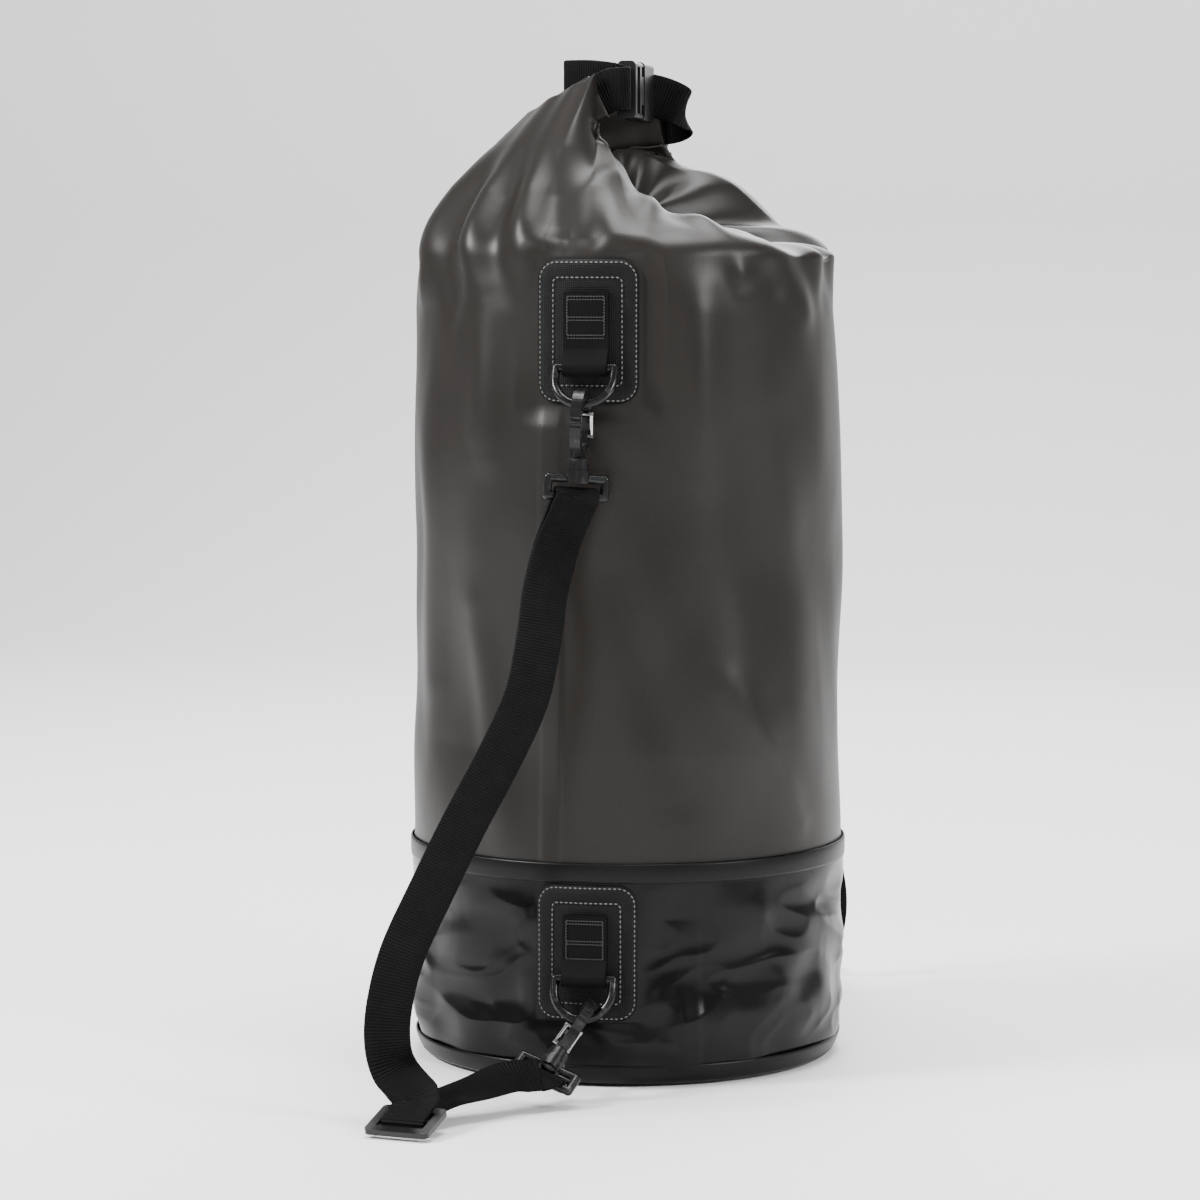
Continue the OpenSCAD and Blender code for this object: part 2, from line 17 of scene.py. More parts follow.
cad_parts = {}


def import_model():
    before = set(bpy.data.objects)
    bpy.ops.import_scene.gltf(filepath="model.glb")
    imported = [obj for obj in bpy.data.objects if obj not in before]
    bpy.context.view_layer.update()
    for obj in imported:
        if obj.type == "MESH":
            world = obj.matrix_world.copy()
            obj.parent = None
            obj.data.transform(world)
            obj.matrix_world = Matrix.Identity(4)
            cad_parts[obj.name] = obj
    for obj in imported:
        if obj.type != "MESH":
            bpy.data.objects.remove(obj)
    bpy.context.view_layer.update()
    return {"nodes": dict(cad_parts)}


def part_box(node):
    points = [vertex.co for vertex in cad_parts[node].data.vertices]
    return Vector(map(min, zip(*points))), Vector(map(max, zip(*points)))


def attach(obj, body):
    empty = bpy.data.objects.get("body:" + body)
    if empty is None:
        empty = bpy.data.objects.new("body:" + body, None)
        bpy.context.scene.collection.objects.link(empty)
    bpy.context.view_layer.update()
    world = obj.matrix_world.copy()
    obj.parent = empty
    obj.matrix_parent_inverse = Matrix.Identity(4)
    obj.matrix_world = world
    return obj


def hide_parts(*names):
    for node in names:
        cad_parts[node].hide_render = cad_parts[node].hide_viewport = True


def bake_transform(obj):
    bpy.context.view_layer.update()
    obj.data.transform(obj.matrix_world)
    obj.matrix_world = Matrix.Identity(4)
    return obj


LOG = logging.getLogger("rope_bag")
MM = 0.001
Point = tuple[float, float, float]


class Side(Enum):
    """The two faces of the bag that carry patches and a shoulder strap."""

    FRONT = 0
    BACK = 1

    @property
    def word(self) -> str:
        """The side's word in node names."""
        return self.name.lower()

    def turn(self, points: np.ndarray) -> np.ndarray:
        """Points of the front side, turned to this side."""
        sign = 1.0 if self is Side.FRONT else -1.0
        return np.asarray(points, float) * np.array([sign, sign, 1.0])


class Level(Enum):
    """The two heights at which a side carries a patch and a ring."""

    UPPER = "upper"
    LOWER = "lower"


# ---------------------------------------------------------------- finishes


@dataclass(frozen=True)
class Finish:
    """A surface finish that makes its own node material.

    Args:
        name: the material's name.
        colour: linear base colour.
        roughness: middle roughness.
        metallic: 0 for fabric and plastic, 1 for bare metal.
        specular: specular level.
        sheen: cloth sheen.
        coat: clear coat weight.
    """

    name: str
    colour: tuple[float, float, float]
    roughness: float = 0.5
    metallic: float = 0.0
    specular: float = 0.5
    sheen: float = 0.0
    coat: float = 0.0

    def material(self) -> bpy.types.Material:
        """The finish's material, made once."""
        made = bpy.data.materials.get(self.name)
        if made is None:
            made = bpy.data.materials.new(self.name)
            made.use_nodes = True
            self.dress(made.node_tree)
        return made

    def shader(self, tree: bpy.types.NodeTree) -> bpy.types.Node:
        """Sets the plain values on the tree's shader.

        Args:
            tree: the material's node tree.

        Returns:
            The Principled shader node.
        """
        node = tree.nodes["Principled BSDF"]
        node.inputs["Base Color"].default_value = (*self.colour, 1.0)
        node.inputs["Roughness"].default_value = self.roughness
        node.inputs["Metallic"].default_value = self.metallic
        node.inputs["Specular IOR Level"].default_value = self.specular
        node.inputs["Sheen Weight"].default_value = self.sheen
        node.inputs["Coat Weight"].default_value = self.coat
        return node

    def mottled(self, tree: bpy.types.NodeTree, scale: float, low: float, high: float) -> None:
        """Varies the base colour with a soft noise.

        Args:
            tree: the material's node tree.
            scale: the noise's scale.
            low: share of the colour where it is darkest.
            high: share of the colour where it is lightest.
        """
        spots = noise_node(tree, scale, 4.0)
        ramp = tree.nodes.new("ShaderNodeValToRGB")
        ramp.color_ramp.elements[0].position = 0.3
        ramp.color_ramp.elements[1].position = 0.7
        ramp.color_ramp.elements[0].color = (*[c * low for c in self.colour], 1.0)
        ramp.color_ramp.elements[1].color = (*[c * high for c in self.colour], 1.0)
        tree.links.new(spots.outputs["Fac"], ramp.inputs["Fac"])
        tree.links.new(ramp.outputs["Color"], self.shader(tree).inputs["Base Color"])

    def rough_range(self, tree: bpy.types.NodeTree, scale: float, spread: float) -> None:
        """Varies the roughness about its middle value.

        Args:
            tree: the material's node tree.
            scale: the noise's scale.
            spread: how far the roughness goes each way.
        """
        spots = noise_node(tree, scale, 3.0)
        limits = tree.nodes.new("ShaderNodeMapRange")
        limits.inputs["To Min"].default_value = self.roughness - spread
        limits.inputs["To Max"].default_value = self.roughness + spread
        tree.links.new(spots.outputs["Fac"], limits.inputs["Value"])
        tree.links.new(limits.outputs["Result"], self.shader(tree).inputs["Roughness"])

    def dress(self, tree: bpy.types.NodeTree) -> None:
        """Fills the material's nodes; each kind of finish adds its own detail."""
        self.mottled(tree, 40.0, 0.85, 1.12)
        self.rough_range(tree, 60.0, 0.08)


def noise_node(tree: bpy.types.NodeTree, scale: float, detail: float) -> bpy.types.Node:
    """A noise texture on the object's own coordinates.

    Args:
        tree: the material's node tree.
        scale: the noise's scale.
        detail: the noise's detail.

    Returns:
        The noise node.
    """
    place = tree.nodes.new("ShaderNodeTexCoord")
    made = tree.nodes.new("ShaderNodeTexNoise")
    made.inputs["Scale"].default_value = scale
    made.inputs["Detail"].default_value = detail
    tree.links.new(place.outputs["Object"], made.inputs["Vector"])
    return made


def add_bump(tree: bpy.types.NodeTree, height: bpy.types.NodeSocket, strength: float,
             depth: float) -> None:
    """Adds a bump over whatever normal the shader already has.

    Args:
        tree: the material's node tree.
        height: the socket that gives the height.
        strength: the bump's strength.
        depth: the bump's distance in metres.
    """
    bump = tree.nodes.new("ShaderNodeBump")
    bump.inputs["Strength"].default_value = strength
    bump.inputs["Distance"].default_value = depth
    normal = tree.nodes["Principled BSDF"].inputs["Normal"]
    if normal.is_linked:
        tree.links.new(normal.links[0].from_socket, bump.inputs["Normal"])
    tree.links.new(height, bump.inputs["Height"])
    tree.links.new(bump.outputs["Normal"], normal)


@dataclass(frozen=True)
class PlainFinish(Finish):
    """An even finish with no variation, for the floor."""

    def dress(self, tree: bpy.types.NodeTree) -> None:
        """Sets the plain values alone."""
        self.shader(tree)


@dataclass(frozen=True)
class CoatedFabric(Finish):
    """Coated fabric whose base cloth shows faintly through a smooth skin.

    Args:
        crinkle: depth of the soft crinkles in metres.
        grain: strength of the cloth's grain.
    """

    crinkle: float = 0.0015
    grain: float = 0.10

    def dress(self, tree: bpy.types.NodeTree) -> None:
        """Adds a faint woven grain, soft crinkles and rubbed patches."""
        self.mottled(tree, 14.0, 0.9, 1.1)
        self.rough_range(tree, 9.0, 0.07)
        crinkles = noise_node(tree, 16.0, 2.5)
        crinkles.inputs["Distortion"].default_value = 0.6
        add_bump(tree, crinkles.outputs["Fac"], 0.35, self.crinkle)
        place = tree.nodes.new("ShaderNodeUVMap")
        for way in ("X", "Y"):
            threads = tree.nodes.new("ShaderNodeTexWave")
            threads.bands_direction = way
            threads.inputs["Scale"].default_value = 320.0
            threads.inputs["Distortion"].default_value = 0.4
            tree.links.new(place.outputs["UV"], threads.inputs["Vector"])
            add_bump(tree, threads.outputs["Fac"], self.grain, 0.0001)


@dataclass(frozen=True)
class Webbing(Finish):
    """Flat woven webbing with ribs across its run."""

    def dress(self, tree: bpy.types.NodeTree) -> None:
        """Adds ribs across the strap, thread lines along it and a dusty variation."""
        self.mottled(tree, 90.0, 0.7, 1.5)
        place = tree.nodes.new("ShaderNodeUVMap")
        ribs = tree.nodes.new("ShaderNodeTexWave")
        ribs.bands_direction = "X"
        ribs.inputs["Scale"].default_value = 190.0
        ribs.inputs["Distortion"].default_value = 0.7
        tree.links.new(place.outputs["UV"], ribs.inputs["Vector"])
        add_bump(tree, ribs.outputs["Fac"], 0.9, 0.0006)
        lines = tree.nodes.new("ShaderNodeTexWave")
        lines.bands_direction = "Y"
        lines.inputs["Scale"].default_value = 240.0
        tree.links.new(place.outputs["UV"], lines.inputs["Vector"])
        add_bump(tree, lines.outputs["Fac"], 0.35, 0.0003)


@dataclass(frozen=True)
class PatchFabric(Finish):
    """Heavy woven patch material with a visible cross weave."""

    def dress(self, tree: bpy.types.NodeTree) -> None:
        """Adds a cross weave and a dull, dusty variation."""
        self.mottled(tree, 120.0, 0.75, 1.35)
        place = tree.nodes.new("ShaderNodeUVMap")
        for way in ("X", "Y"):
            threads = tree.nodes.new("ShaderNodeTexWave")
            threads.bands_direction = way
            threads.inputs["Scale"].default_value = 260.0
            threads.inputs["Distortion"].default_value = 0.5
            tree.links.new(place.outputs["UV"], threads.inputs["Vector"])
            add_bump(tree, threads.outputs["Fac"], 0.5, 0.00025)


@dataclass(frozen=True)
class WornMetal(Finish):
    """Blackened metal that is rubbed brighter here and there."""

    rubbed: tuple[float, float, float] = (0.2, 0.2, 0.21)

    def dress(self, tree: bpy.types.NodeTree) -> None:
        """Adds rubbed spots, fine casting grain and a varied gloss."""
        shader = self.shader(tree)
        spots = noise_node(tree, 220.0, 6.0)
        ramp = tree.nodes.new("ShaderNodeValToRGB")
        ramp.color_ramp.elements[0].position = 0.55
        ramp.color_ramp.elements[1].position = 0.78
        ramp.color_ramp.elements[0].color = (*self.colour, 1.0)
        ramp.color_ramp.elements[1].color = (*self.rubbed, 1.0)
        tree.links.new(spots.outputs["Fac"], ramp.inputs["Fac"])
        tree.links.new(ramp.outputs["Color"], shader.inputs["Base Color"])
        self.rough_range(tree, 300.0, 0.1)
        grain = noise_node(tree, 900.0, 2.0)
        add_bump(tree, grain.outputs["Fac"], 0.15, 0.0001)


TAUPE = CoatedFabric("taupe_coated_fabric", (0.0115, 0.0098, 0.0086), 0.38, specular=0.22,
                     sheen=0.0)
BOOT = CoatedFabric("black_boot_fabric", (0.0018, 0.0018, 0.0019), 0.25, specular=0.15,
                    crinkle=0.003)
TAPE = CoatedFabric("black_weld_tape", (0.0022, 0.0022, 0.0023), 0.36, specular=0.16, crinkle=0.001)
PATCH = PatchFabric("black_patch_fabric", (0.0034, 0.0034, 0.0035), 0.58, specular=0.14)
WEB = Webbing("black_webbing", (0.0016, 0.0016, 0.0017), 0.7, specular=0.10, sheen=0.0)
THREAD = Finish("grey_thread", (0.10, 0.10, 0.097), 0.6, sheen=0.1)
DARK_THREAD = Finish("black_thread", (0.012, 0.012, 0.012), 0.55, sheen=0.05)
BLACK_METAL = WornMetal("black_cast_metal", (0.006, 0.006, 0.0065), 0.3, metallic=0.4, specular=0.4,
                        rubbed=(0.04, 0.04, 0.042))
RING_METAL = WornMetal("black_ring_wire", (0.012, 0.012, 0.013), 0.25, metallic=0.7,
                       rubbed=(0.07, 0.07, 0.072))
STEEL = WornMetal("gate_steel", (0.42, 0.42, 0.43), 0.25, metallic=1.0, rubbed=(0.7, 0.7, 0.7))
PLASTIC = Finish("black_moulded_plastic", (0.004, 0.004, 0.0042), 0.34, specular=0.35, coat=0.05)
FLOOR = PlainFinish("pale_floor", (0.93, 0.93, 0.93), 0.75, specular=0.1)

# ---------------------------------------------------------------- mesh helpers


def make_object(name: str, points: np.ndarray, faces: Sequence[Sequence[int]], finish: Finish,
                uv: np.ndarray | None = None) -> bpy.types.Object:
    """Makes a smooth-shaded mesh object in the scene.

    Args:
        name: the piece's name.
        points: its vertices.
        faces: its faces.
        finish: its finish.
        uv: a place on the cloth for each vertex, in metres.

    Returns:
        The new object.
    """
    mesh = bpy.data.meshes.new(name)
    mesh.from_pydata([tuple(p) for p in points], [], [tuple(f) for f in faces])
    layer = mesh.uv_layers.new(name="cloth")
    if uv is not None:
        for loop in mesh.loops:
            layer.data[loop.index].uv = uv[loop.vertex_index]
    mesh.materials.append(finish.material())
    mesh.polygons.foreach_set("use_smooth", [True] * len(mesh.polygons))
    mesh.validate()
    made = bpy.data.objects.new(name, mesh)
    bpy.context.scene.collection.objects.link(made)
    return made


def grid_faces(rows: int, columns: int, closed: bool) -> list[tuple[int, int, int, int]]:
    """Quads over a grid of points that are stored row by row.

    Args:
        rows: how many rows of points there are.
        columns: how many points a row has.
        closed: whether a row's last point joins its first.

    Returns:
        The faces.
    """
    last = columns if closed else columns - 1
    return [
        (r * columns + c, r * columns + (c + 1) % columns,
         (r + 1) * columns + (c + 1) % columns, (r + 1) * columns + c)
        for r in range(rows - 1) for c in range(last)
    ]


def smooth_line(knots: np.ndarray, steps: int) -> np.ndarray:
    """A Catmull-Rom run through some knots.

    Args:
        knots: the points that it passes.
        steps: how many steps lie between each two.

    Returns:
        The points of the run.
    """
    knots = np.asarray(knots, float)
    last = len(knots) - 1
    found = []
    for i in range(last):
        a, b, c, d = (knots[min(max(i + k, 0), last)] for k in (-1, 0, 1, 2))
        for k in range(steps):
            t = k / steps
            found.append(0.5 * (2 * b + (c - a) * t + (2 * a - 5 * b + 4 * c - d) * t * t
                                + (3 * b - a - 3 * c + d) * t ** 3))
    found.append(knots[last])
    return np.array(found)


def directions(path: np.ndarray) -> np.ndarray:
    """The unit direction of a path at each of its points."""
    run = np.gradient(path, axis=0)
    return run / np.maximum(np.linalg.norm(run, axis=1, keepdims=True), 1e-9)


def ribbon(name: str, path: np.ndarray, ways: np.ndarray, width: float, thick: float,
           finish: Finish, belly: float = 0.0) -> bpy.types.Object:
    """A flat strap along a path, with rounded selvedges.

    Args:
        name: the piece's name.
        path: the points that its middle follows.
        ways: the direction across it at each point.
        width: its width.
        thick: its thickness.
        finish: its finish.
        belly: how far its middle stands out of its edges.

    Returns:
        The new object.
    """
    run = directions(path)
    ways = ways - run * (ways * run).sum(1, keepdims=True)
    ways = ways / np.linalg.norm(ways, axis=1, keepdims=True)
    out = np.cross(run, ways)
    half = width / 2
    edge = thick / 2
    across = [-half, -half + 0.3 * edge, -half + edge, -half * 0.5, 0.0, half * 0.5, half - edge,
              half - 0.3 * edge, half]
    high = [0.0, 0.72 * edge, edge, edge, edge, edge, edge, 0.72 * edge, 0.0]
    section = [(x, h) for x, h in zip(across, high)]
    section += [(x, -h) for x, h in reversed(list(zip(across[1:-1], high[1:-1])))]
    far = np.concatenate([[0], np.cumsum(np.linalg.norm(np.diff(path, axis=0), axis=1))])
    points, uv = [], []
    for i, middle in enumerate(path):
        for x, h in section:
            rise = h + belly * (1 - (x / half) ** 2)
            points.append(middle + ways[i] * x + out[i] * rise)
            uv.append((far[i], x))
    n = len(section)
    faces = grid_faces(len(path), n, True)
    faces += [tuple(reversed(range(n))), tuple(range((len(path) - 1) * n, len(path) * n))]
    return make_object(name, np.array(points), faces, finish, np.array(uv))


def stitches(name: str, line: np.ndarray, normal: Callable[[np.ndarray], np.ndarray],
             finish: Finish, pitch: float = 0.0028, length: float = 0.0019,
             thick: float = 0.0004) -> bpy.types.Object:
    """A row of thread stitches that lie along a line on a surface.

    Args:
        name: the piece's name.
        line: the points of the line.
        normal: gives the way out of the surface at a point.
        finish: the thread's finish.
        pitch: distance from stitch to stitch.
        length: a stitch's length.
        thick: the thread's radius.

    Returns:
        The new object.
    """
    far = np.concatenate([[0], np.cumsum(np.linalg.norm(np.diff(line, axis=0), axis=1))])
    count = max(1, int(far[-1] / pitch))
    points, faces = [], []
    sides = 6
    rings = [(-0.5, 0.2, 0.0), (-0.3, 0.9, 0.7), (0.0, 1.0, 1.0), (0.3, 0.9, 0.7), (0.5, 0.2, 0.0)]
    for k in range(count):
        at = (k + 0.5) * far[-1] / count
        here = np.array([np.interp(at, far, line[:, i]) for i in range(3)])
        ahead = np.array([np.interp(at + 1e-4, far, line[:, i]) for i in range(3)])
        behind = np.array([np.interp(at - 1e-4, far, line[:, i]) for i in range(3)])
        run = (ahead - behind) / max(np.linalg.norm(ahead - behind), 1e-12)
        out = normal(here)
        side = np.cross(run, out)
        start = len(points)
        for along, girth, lift in rings:
            for s in range(sides):
                a = 2 * math.pi * s / sides
                points.append(here + run * along * length + out * thick * (0.6 * lift + girth * math.sin(a))
                              + side * thick * girth * math.cos(a))
        faces += [tuple(start + v for v in f) for f in grid_faces(len(rings), sides, True)]
        faces += [tuple(start + v for v in reversed(range(sides))),
                  tuple(start + (len(rings) - 1) * sides + v for v in range(sides))]
    return make_object(name, np.array(points), faces, finish)


@dataclass(frozen=True)
class Crease:
    """A ridge or a valley pressed into the fabric along a short line.

    Args:
        start: one end, near the surface.
        end: the other end.
        height: how far it stands out; below 0 is a valley.
        width: half of its width.
    """

    start: Point
    end: Point
    height: float
    width: float

    def lift(self, points: np.ndarray) -> np.ndarray:
        """How far each point moves out of the surface.

        Args:
            points: points on the surface.

        Returns:
            The distance for each point.
        """
        a, b = np.array(self.start), np.array(self.end)
        run = b - a
        t = np.clip(((points - a) @ run) / max(run @ run, 1e-12), 0, 1)
        away = np.linalg.norm(points - a - t[:, None] * run, axis=1)
        fade = np.sin(np.pi * np.clip(t * 0.8 + 0.1, 0, 1)) ** 0.7
        return self.height * fade * np.exp(-((away / self.width) ** 2))


# ---------------------------------------------------------------- the bag's fabric


@dataclass
class Mouth:
    """The rolled mouth's middle line, from its near end round the left side to its far end."""

    low_z: float
    roll_w: float = 27 * MM
    roll_t: float = 10 * MM
    knots: Sequence[Point] = (
        (-9, -38, 25), (-28, -34, 15), (-46, -21, 5), (-53, 0, 0),
        (-46, 22, 2), (-26, 38, 7), (-4, 46, 10), (12, 47, 12),
    )

    def line(self, steps: int = 8) -> np.ndarray:
        """The middle line's points."""
        return smooth_line(np.array(self.knots) * MM + np.array([0, 0, self.low_z]), steps)

    def at(self, share: np.ndarray) -> np.ndarray:
        """Points of the middle line.

        Args:
            share: how far along the line, from 0 to 1.

        Returns:
            A point for each share.
        """
        line = self.line()
        places = np.linspace(0, 1, len(line))
        return np.stack([np.interp(share, places, line[:, i]) for i in range(3)], axis=1)


    def outward(self, share: np.ndarray) -> np.ndarray:
        """Level directions out of the band's outer face.

        Args:
            share: how far along the line, from 0 to 1.

        Returns:
            A direction for each share.
        """
        ahead = self.at(np.clip(share + 0.03, 0, 1)) - self.at(np.clip(share - 0.03, 0, 1))
        out = np.stack([-ahead[:, 1], ahead[:, 0], np.zeros(len(ahead))], axis=1)
        return out / np.linalg.norm(out, axis=1, keepdims=True)


@dataclass
class UpperBag:
    """The taupe tube, its shoulder and the folded roof up to the roll."""

    seam_r: float
    seam_z: float
    low_z: float
    shoulder_r: float
    shoulder_z: float
    mouth: Mouth
    columns: int = 560
    tube_rows: int = 120
    roof_rows: int = 70
    creases: list[Crease] = field(default_factory=list)

    def tube(self, angle: np.ndarray, z: float) -> np.ndarray:
        """A row of the tube at one height.

        Args:
            angle: the angle of each point.
            z: the row's height.

        Returns:
            The row's points.
        """
        share = (z - self.seam_z) / (self.shoulder_z - self.seam_z)
        r = self.seam_r + (self.shoulder_r - self.seam_r) * np.clip(share, 0, 1)
        return np.stack([np.cos(angle) * r, np.sin(angle) * r, np.full_like(angle, z)], axis=1)

    def roof(self, angle: np.ndarray, t: float) -> np.ndarray:
        """A row of the roof.

        Args:
            angle: the angle of each point.
            t: how far up the roof the row is, from 0 to 1.

        Returns:
            The row's points.
        """
        share = (1 + np.sin(angle)) / 2
        middle = self.mouth.at(share)
        outer = np.clip(-np.cos(angle) / 0.3, -1, 1)
        cover = np.clip(outer, 0, 1) ** 2 * (3 - 2 * np.clip(outer, 0, 1))
        gap = self.mouth.roll_t * 0.32 * (1 - cover) + (self.mouth.roll_t / 2 + 1.2 * MM) * cover
        top = middle + self.mouth.outward(share) * (outer * gap)[:, None]
        top[:, 2] += self.mouth.roll_w * (-0.42 + 0.93 * cover)
        foot = self.tube(angle, self.shoulder_z)
        bend = 0.11
        flat = t - bend * (1 - math.exp(-t / bend)) * (1 - t)
        rise = t + 0.5 * bend * (1 - math.exp(-t / bend)) * (1 - t)
        made = np.concatenate([foot[:, :2] * (1 - flat) + top[:, :2] * flat,
                               foot[:, 2:] * (1 - rise) + top[:, 2:] * rise], axis=1)
        inner = np.clip(np.cos(angle + math.radians(20)) - 0.55, 0, 1)
        made[:, 2] -= inner * math.sin(math.pi * min(1.0, t * 0.8)) ** 2 * 50 * MM
        around = np.mod(angle + math.pi, 2 * math.pi) - math.pi
        far_rim = np.exp(-((around - math.radians(42)) / 0.32) ** 2)
        made[:, 2] += far_rim * math.sin(math.pi * t) * 4 * MM
        return made

    def build(self) -> bpy.types.Object:
        """Builds the fabric from the seam to the roll as one lofted shell.

        Returns:
            The new object.
        """
        angle = np.linspace(0, 2 * math.pi, self.columns, endpoint=False)
        heights = np.linspace(self.low_z, self.shoulder_z, self.tube_rows)
        rows = [self.tube(angle, z) for z in heights]
        rows += [self.roof(angle, t) for t in np.linspace(0, 1, self.roof_rows)[1:]]
        points = np.array(rows)
        points = self.fold(points)
        flat = points.reshape(-1, 3)
        uv = np.stack([np.tile(angle * self.seam_r, len(rows)), flat[:, 2]], axis=1)
        made = make_object("bag_upper_fabric", flat, grid_faces(len(rows), self.columns, True),
                           TAUPE, uv)
        thicken(made, 1.0 * MM)
        return made

    def fold(self, points: np.ndarray) -> np.ndarray:
        """Adds sag, soft dents and creases to the smooth loft.

        Args:
            points: the loft, row by row.

        Returns:
            The folded loft.
        """
        up = np.gradient(points, axis=0)
        around = np.gradient(np.concatenate([points[:, -1:], points, points[:, :1]], axis=1),
                             axis=1)[:, 1:-1]
        out = np.cross(around, up)
        out = out / np.maximum(np.linalg.norm(out, axis=2, keepdims=True), 1e-9)
        flat = points.reshape(-1, 3)
        lift = np.zeros(len(flat))
        for crease in self.creases:
            lift += crease.lift(flat)
        z = flat[:, 2]
        angle = np.arctan2(flat[:, 1], flat[:, 0])
        free = np.clip((z - self.seam_z) / 0.06, 0, 1)
        lift += free * 0.0026 * np.sin(3 * angle + 9 * z) * np.sin(14 * z + 1.0)
        lift += free * np.array([
            0.0052 * noise.noise(Vector((p[0] * 12, p[1] * 12, p[2] * 7))) for p in flat])
        lift += free * np.array([
            0.0016 * noise.noise(Vector((p[0] * 30, p[1] * 30, p[2] * 16))) for p in flat])
        lift += self.weld(angle, z)
        near_top = np.clip((z - self.shoulder_z + 0.03) / 0.05, 0, 1)
        close = np.clip((self.mouth.low_z - z) / 0.03, 0.15, 1)
        lift += near_top * close * 0.0038 * np.sin(13 * angle + 40 * z + 2 * np.sin(3 * angle))
        clear = clear_of_patch(flat, Level.UPPER)
        lift = lift * clear - 0.0006 * (1 - clear)
        return points + out * lift.reshape(points.shape[:2])[:, :, None]

    def weld(self, angle: np.ndarray, z: np.ndarray) -> np.ndarray:
        """The tube's upright weld: a slightly raised overlap on the left of the front.

        Args:
            angle: each point's angle.
            z: each point's height.

        Returns:
            How far it stands out at each point.
        """
        away = (angle - math.radians(-102.5)) * self.seam_r
        step = 0.5 * (np.tanh(away / 0.0008) - np.tanh((away - 0.013) / 0.0008))
        return 0.0007 * step * np.clip((self.shoulder_z + 0.03 - z) / 0.02, 0, 1)


def clear_of_patch(points: np.ndarray, level: Level) -> np.ndarray:
    """How free each point is of the welded patches, which hold the fabric flat.

    Args:
        points: points on the fabric.
        level: which pair of patches.

    Returns:
        0 under a patch, rising to 1 a little way outside it.
    """
    low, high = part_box(f"patch_front_{level.value}")
    aside = np.maximum(np.abs(points[:, 0]) - high[0], 0)
    below = np.maximum(low[2] - points[:, 2], 0)
    above = np.maximum(points[:, 2] - high[2], 0)
    return np.clip((np.sqrt(aside ** 2 + below ** 2 + above ** 2) - 0.001) / 0.012, 0, 1)


def thicken(obj: bpy.types.Object, thick: float) -> None:
    """Gives a sheet its thickness, inward."""
    shell = obj.modifiers.new("fabric_thickness", "SOLIDIFY")
    shell.thickness = thick
    shell.offset = -1


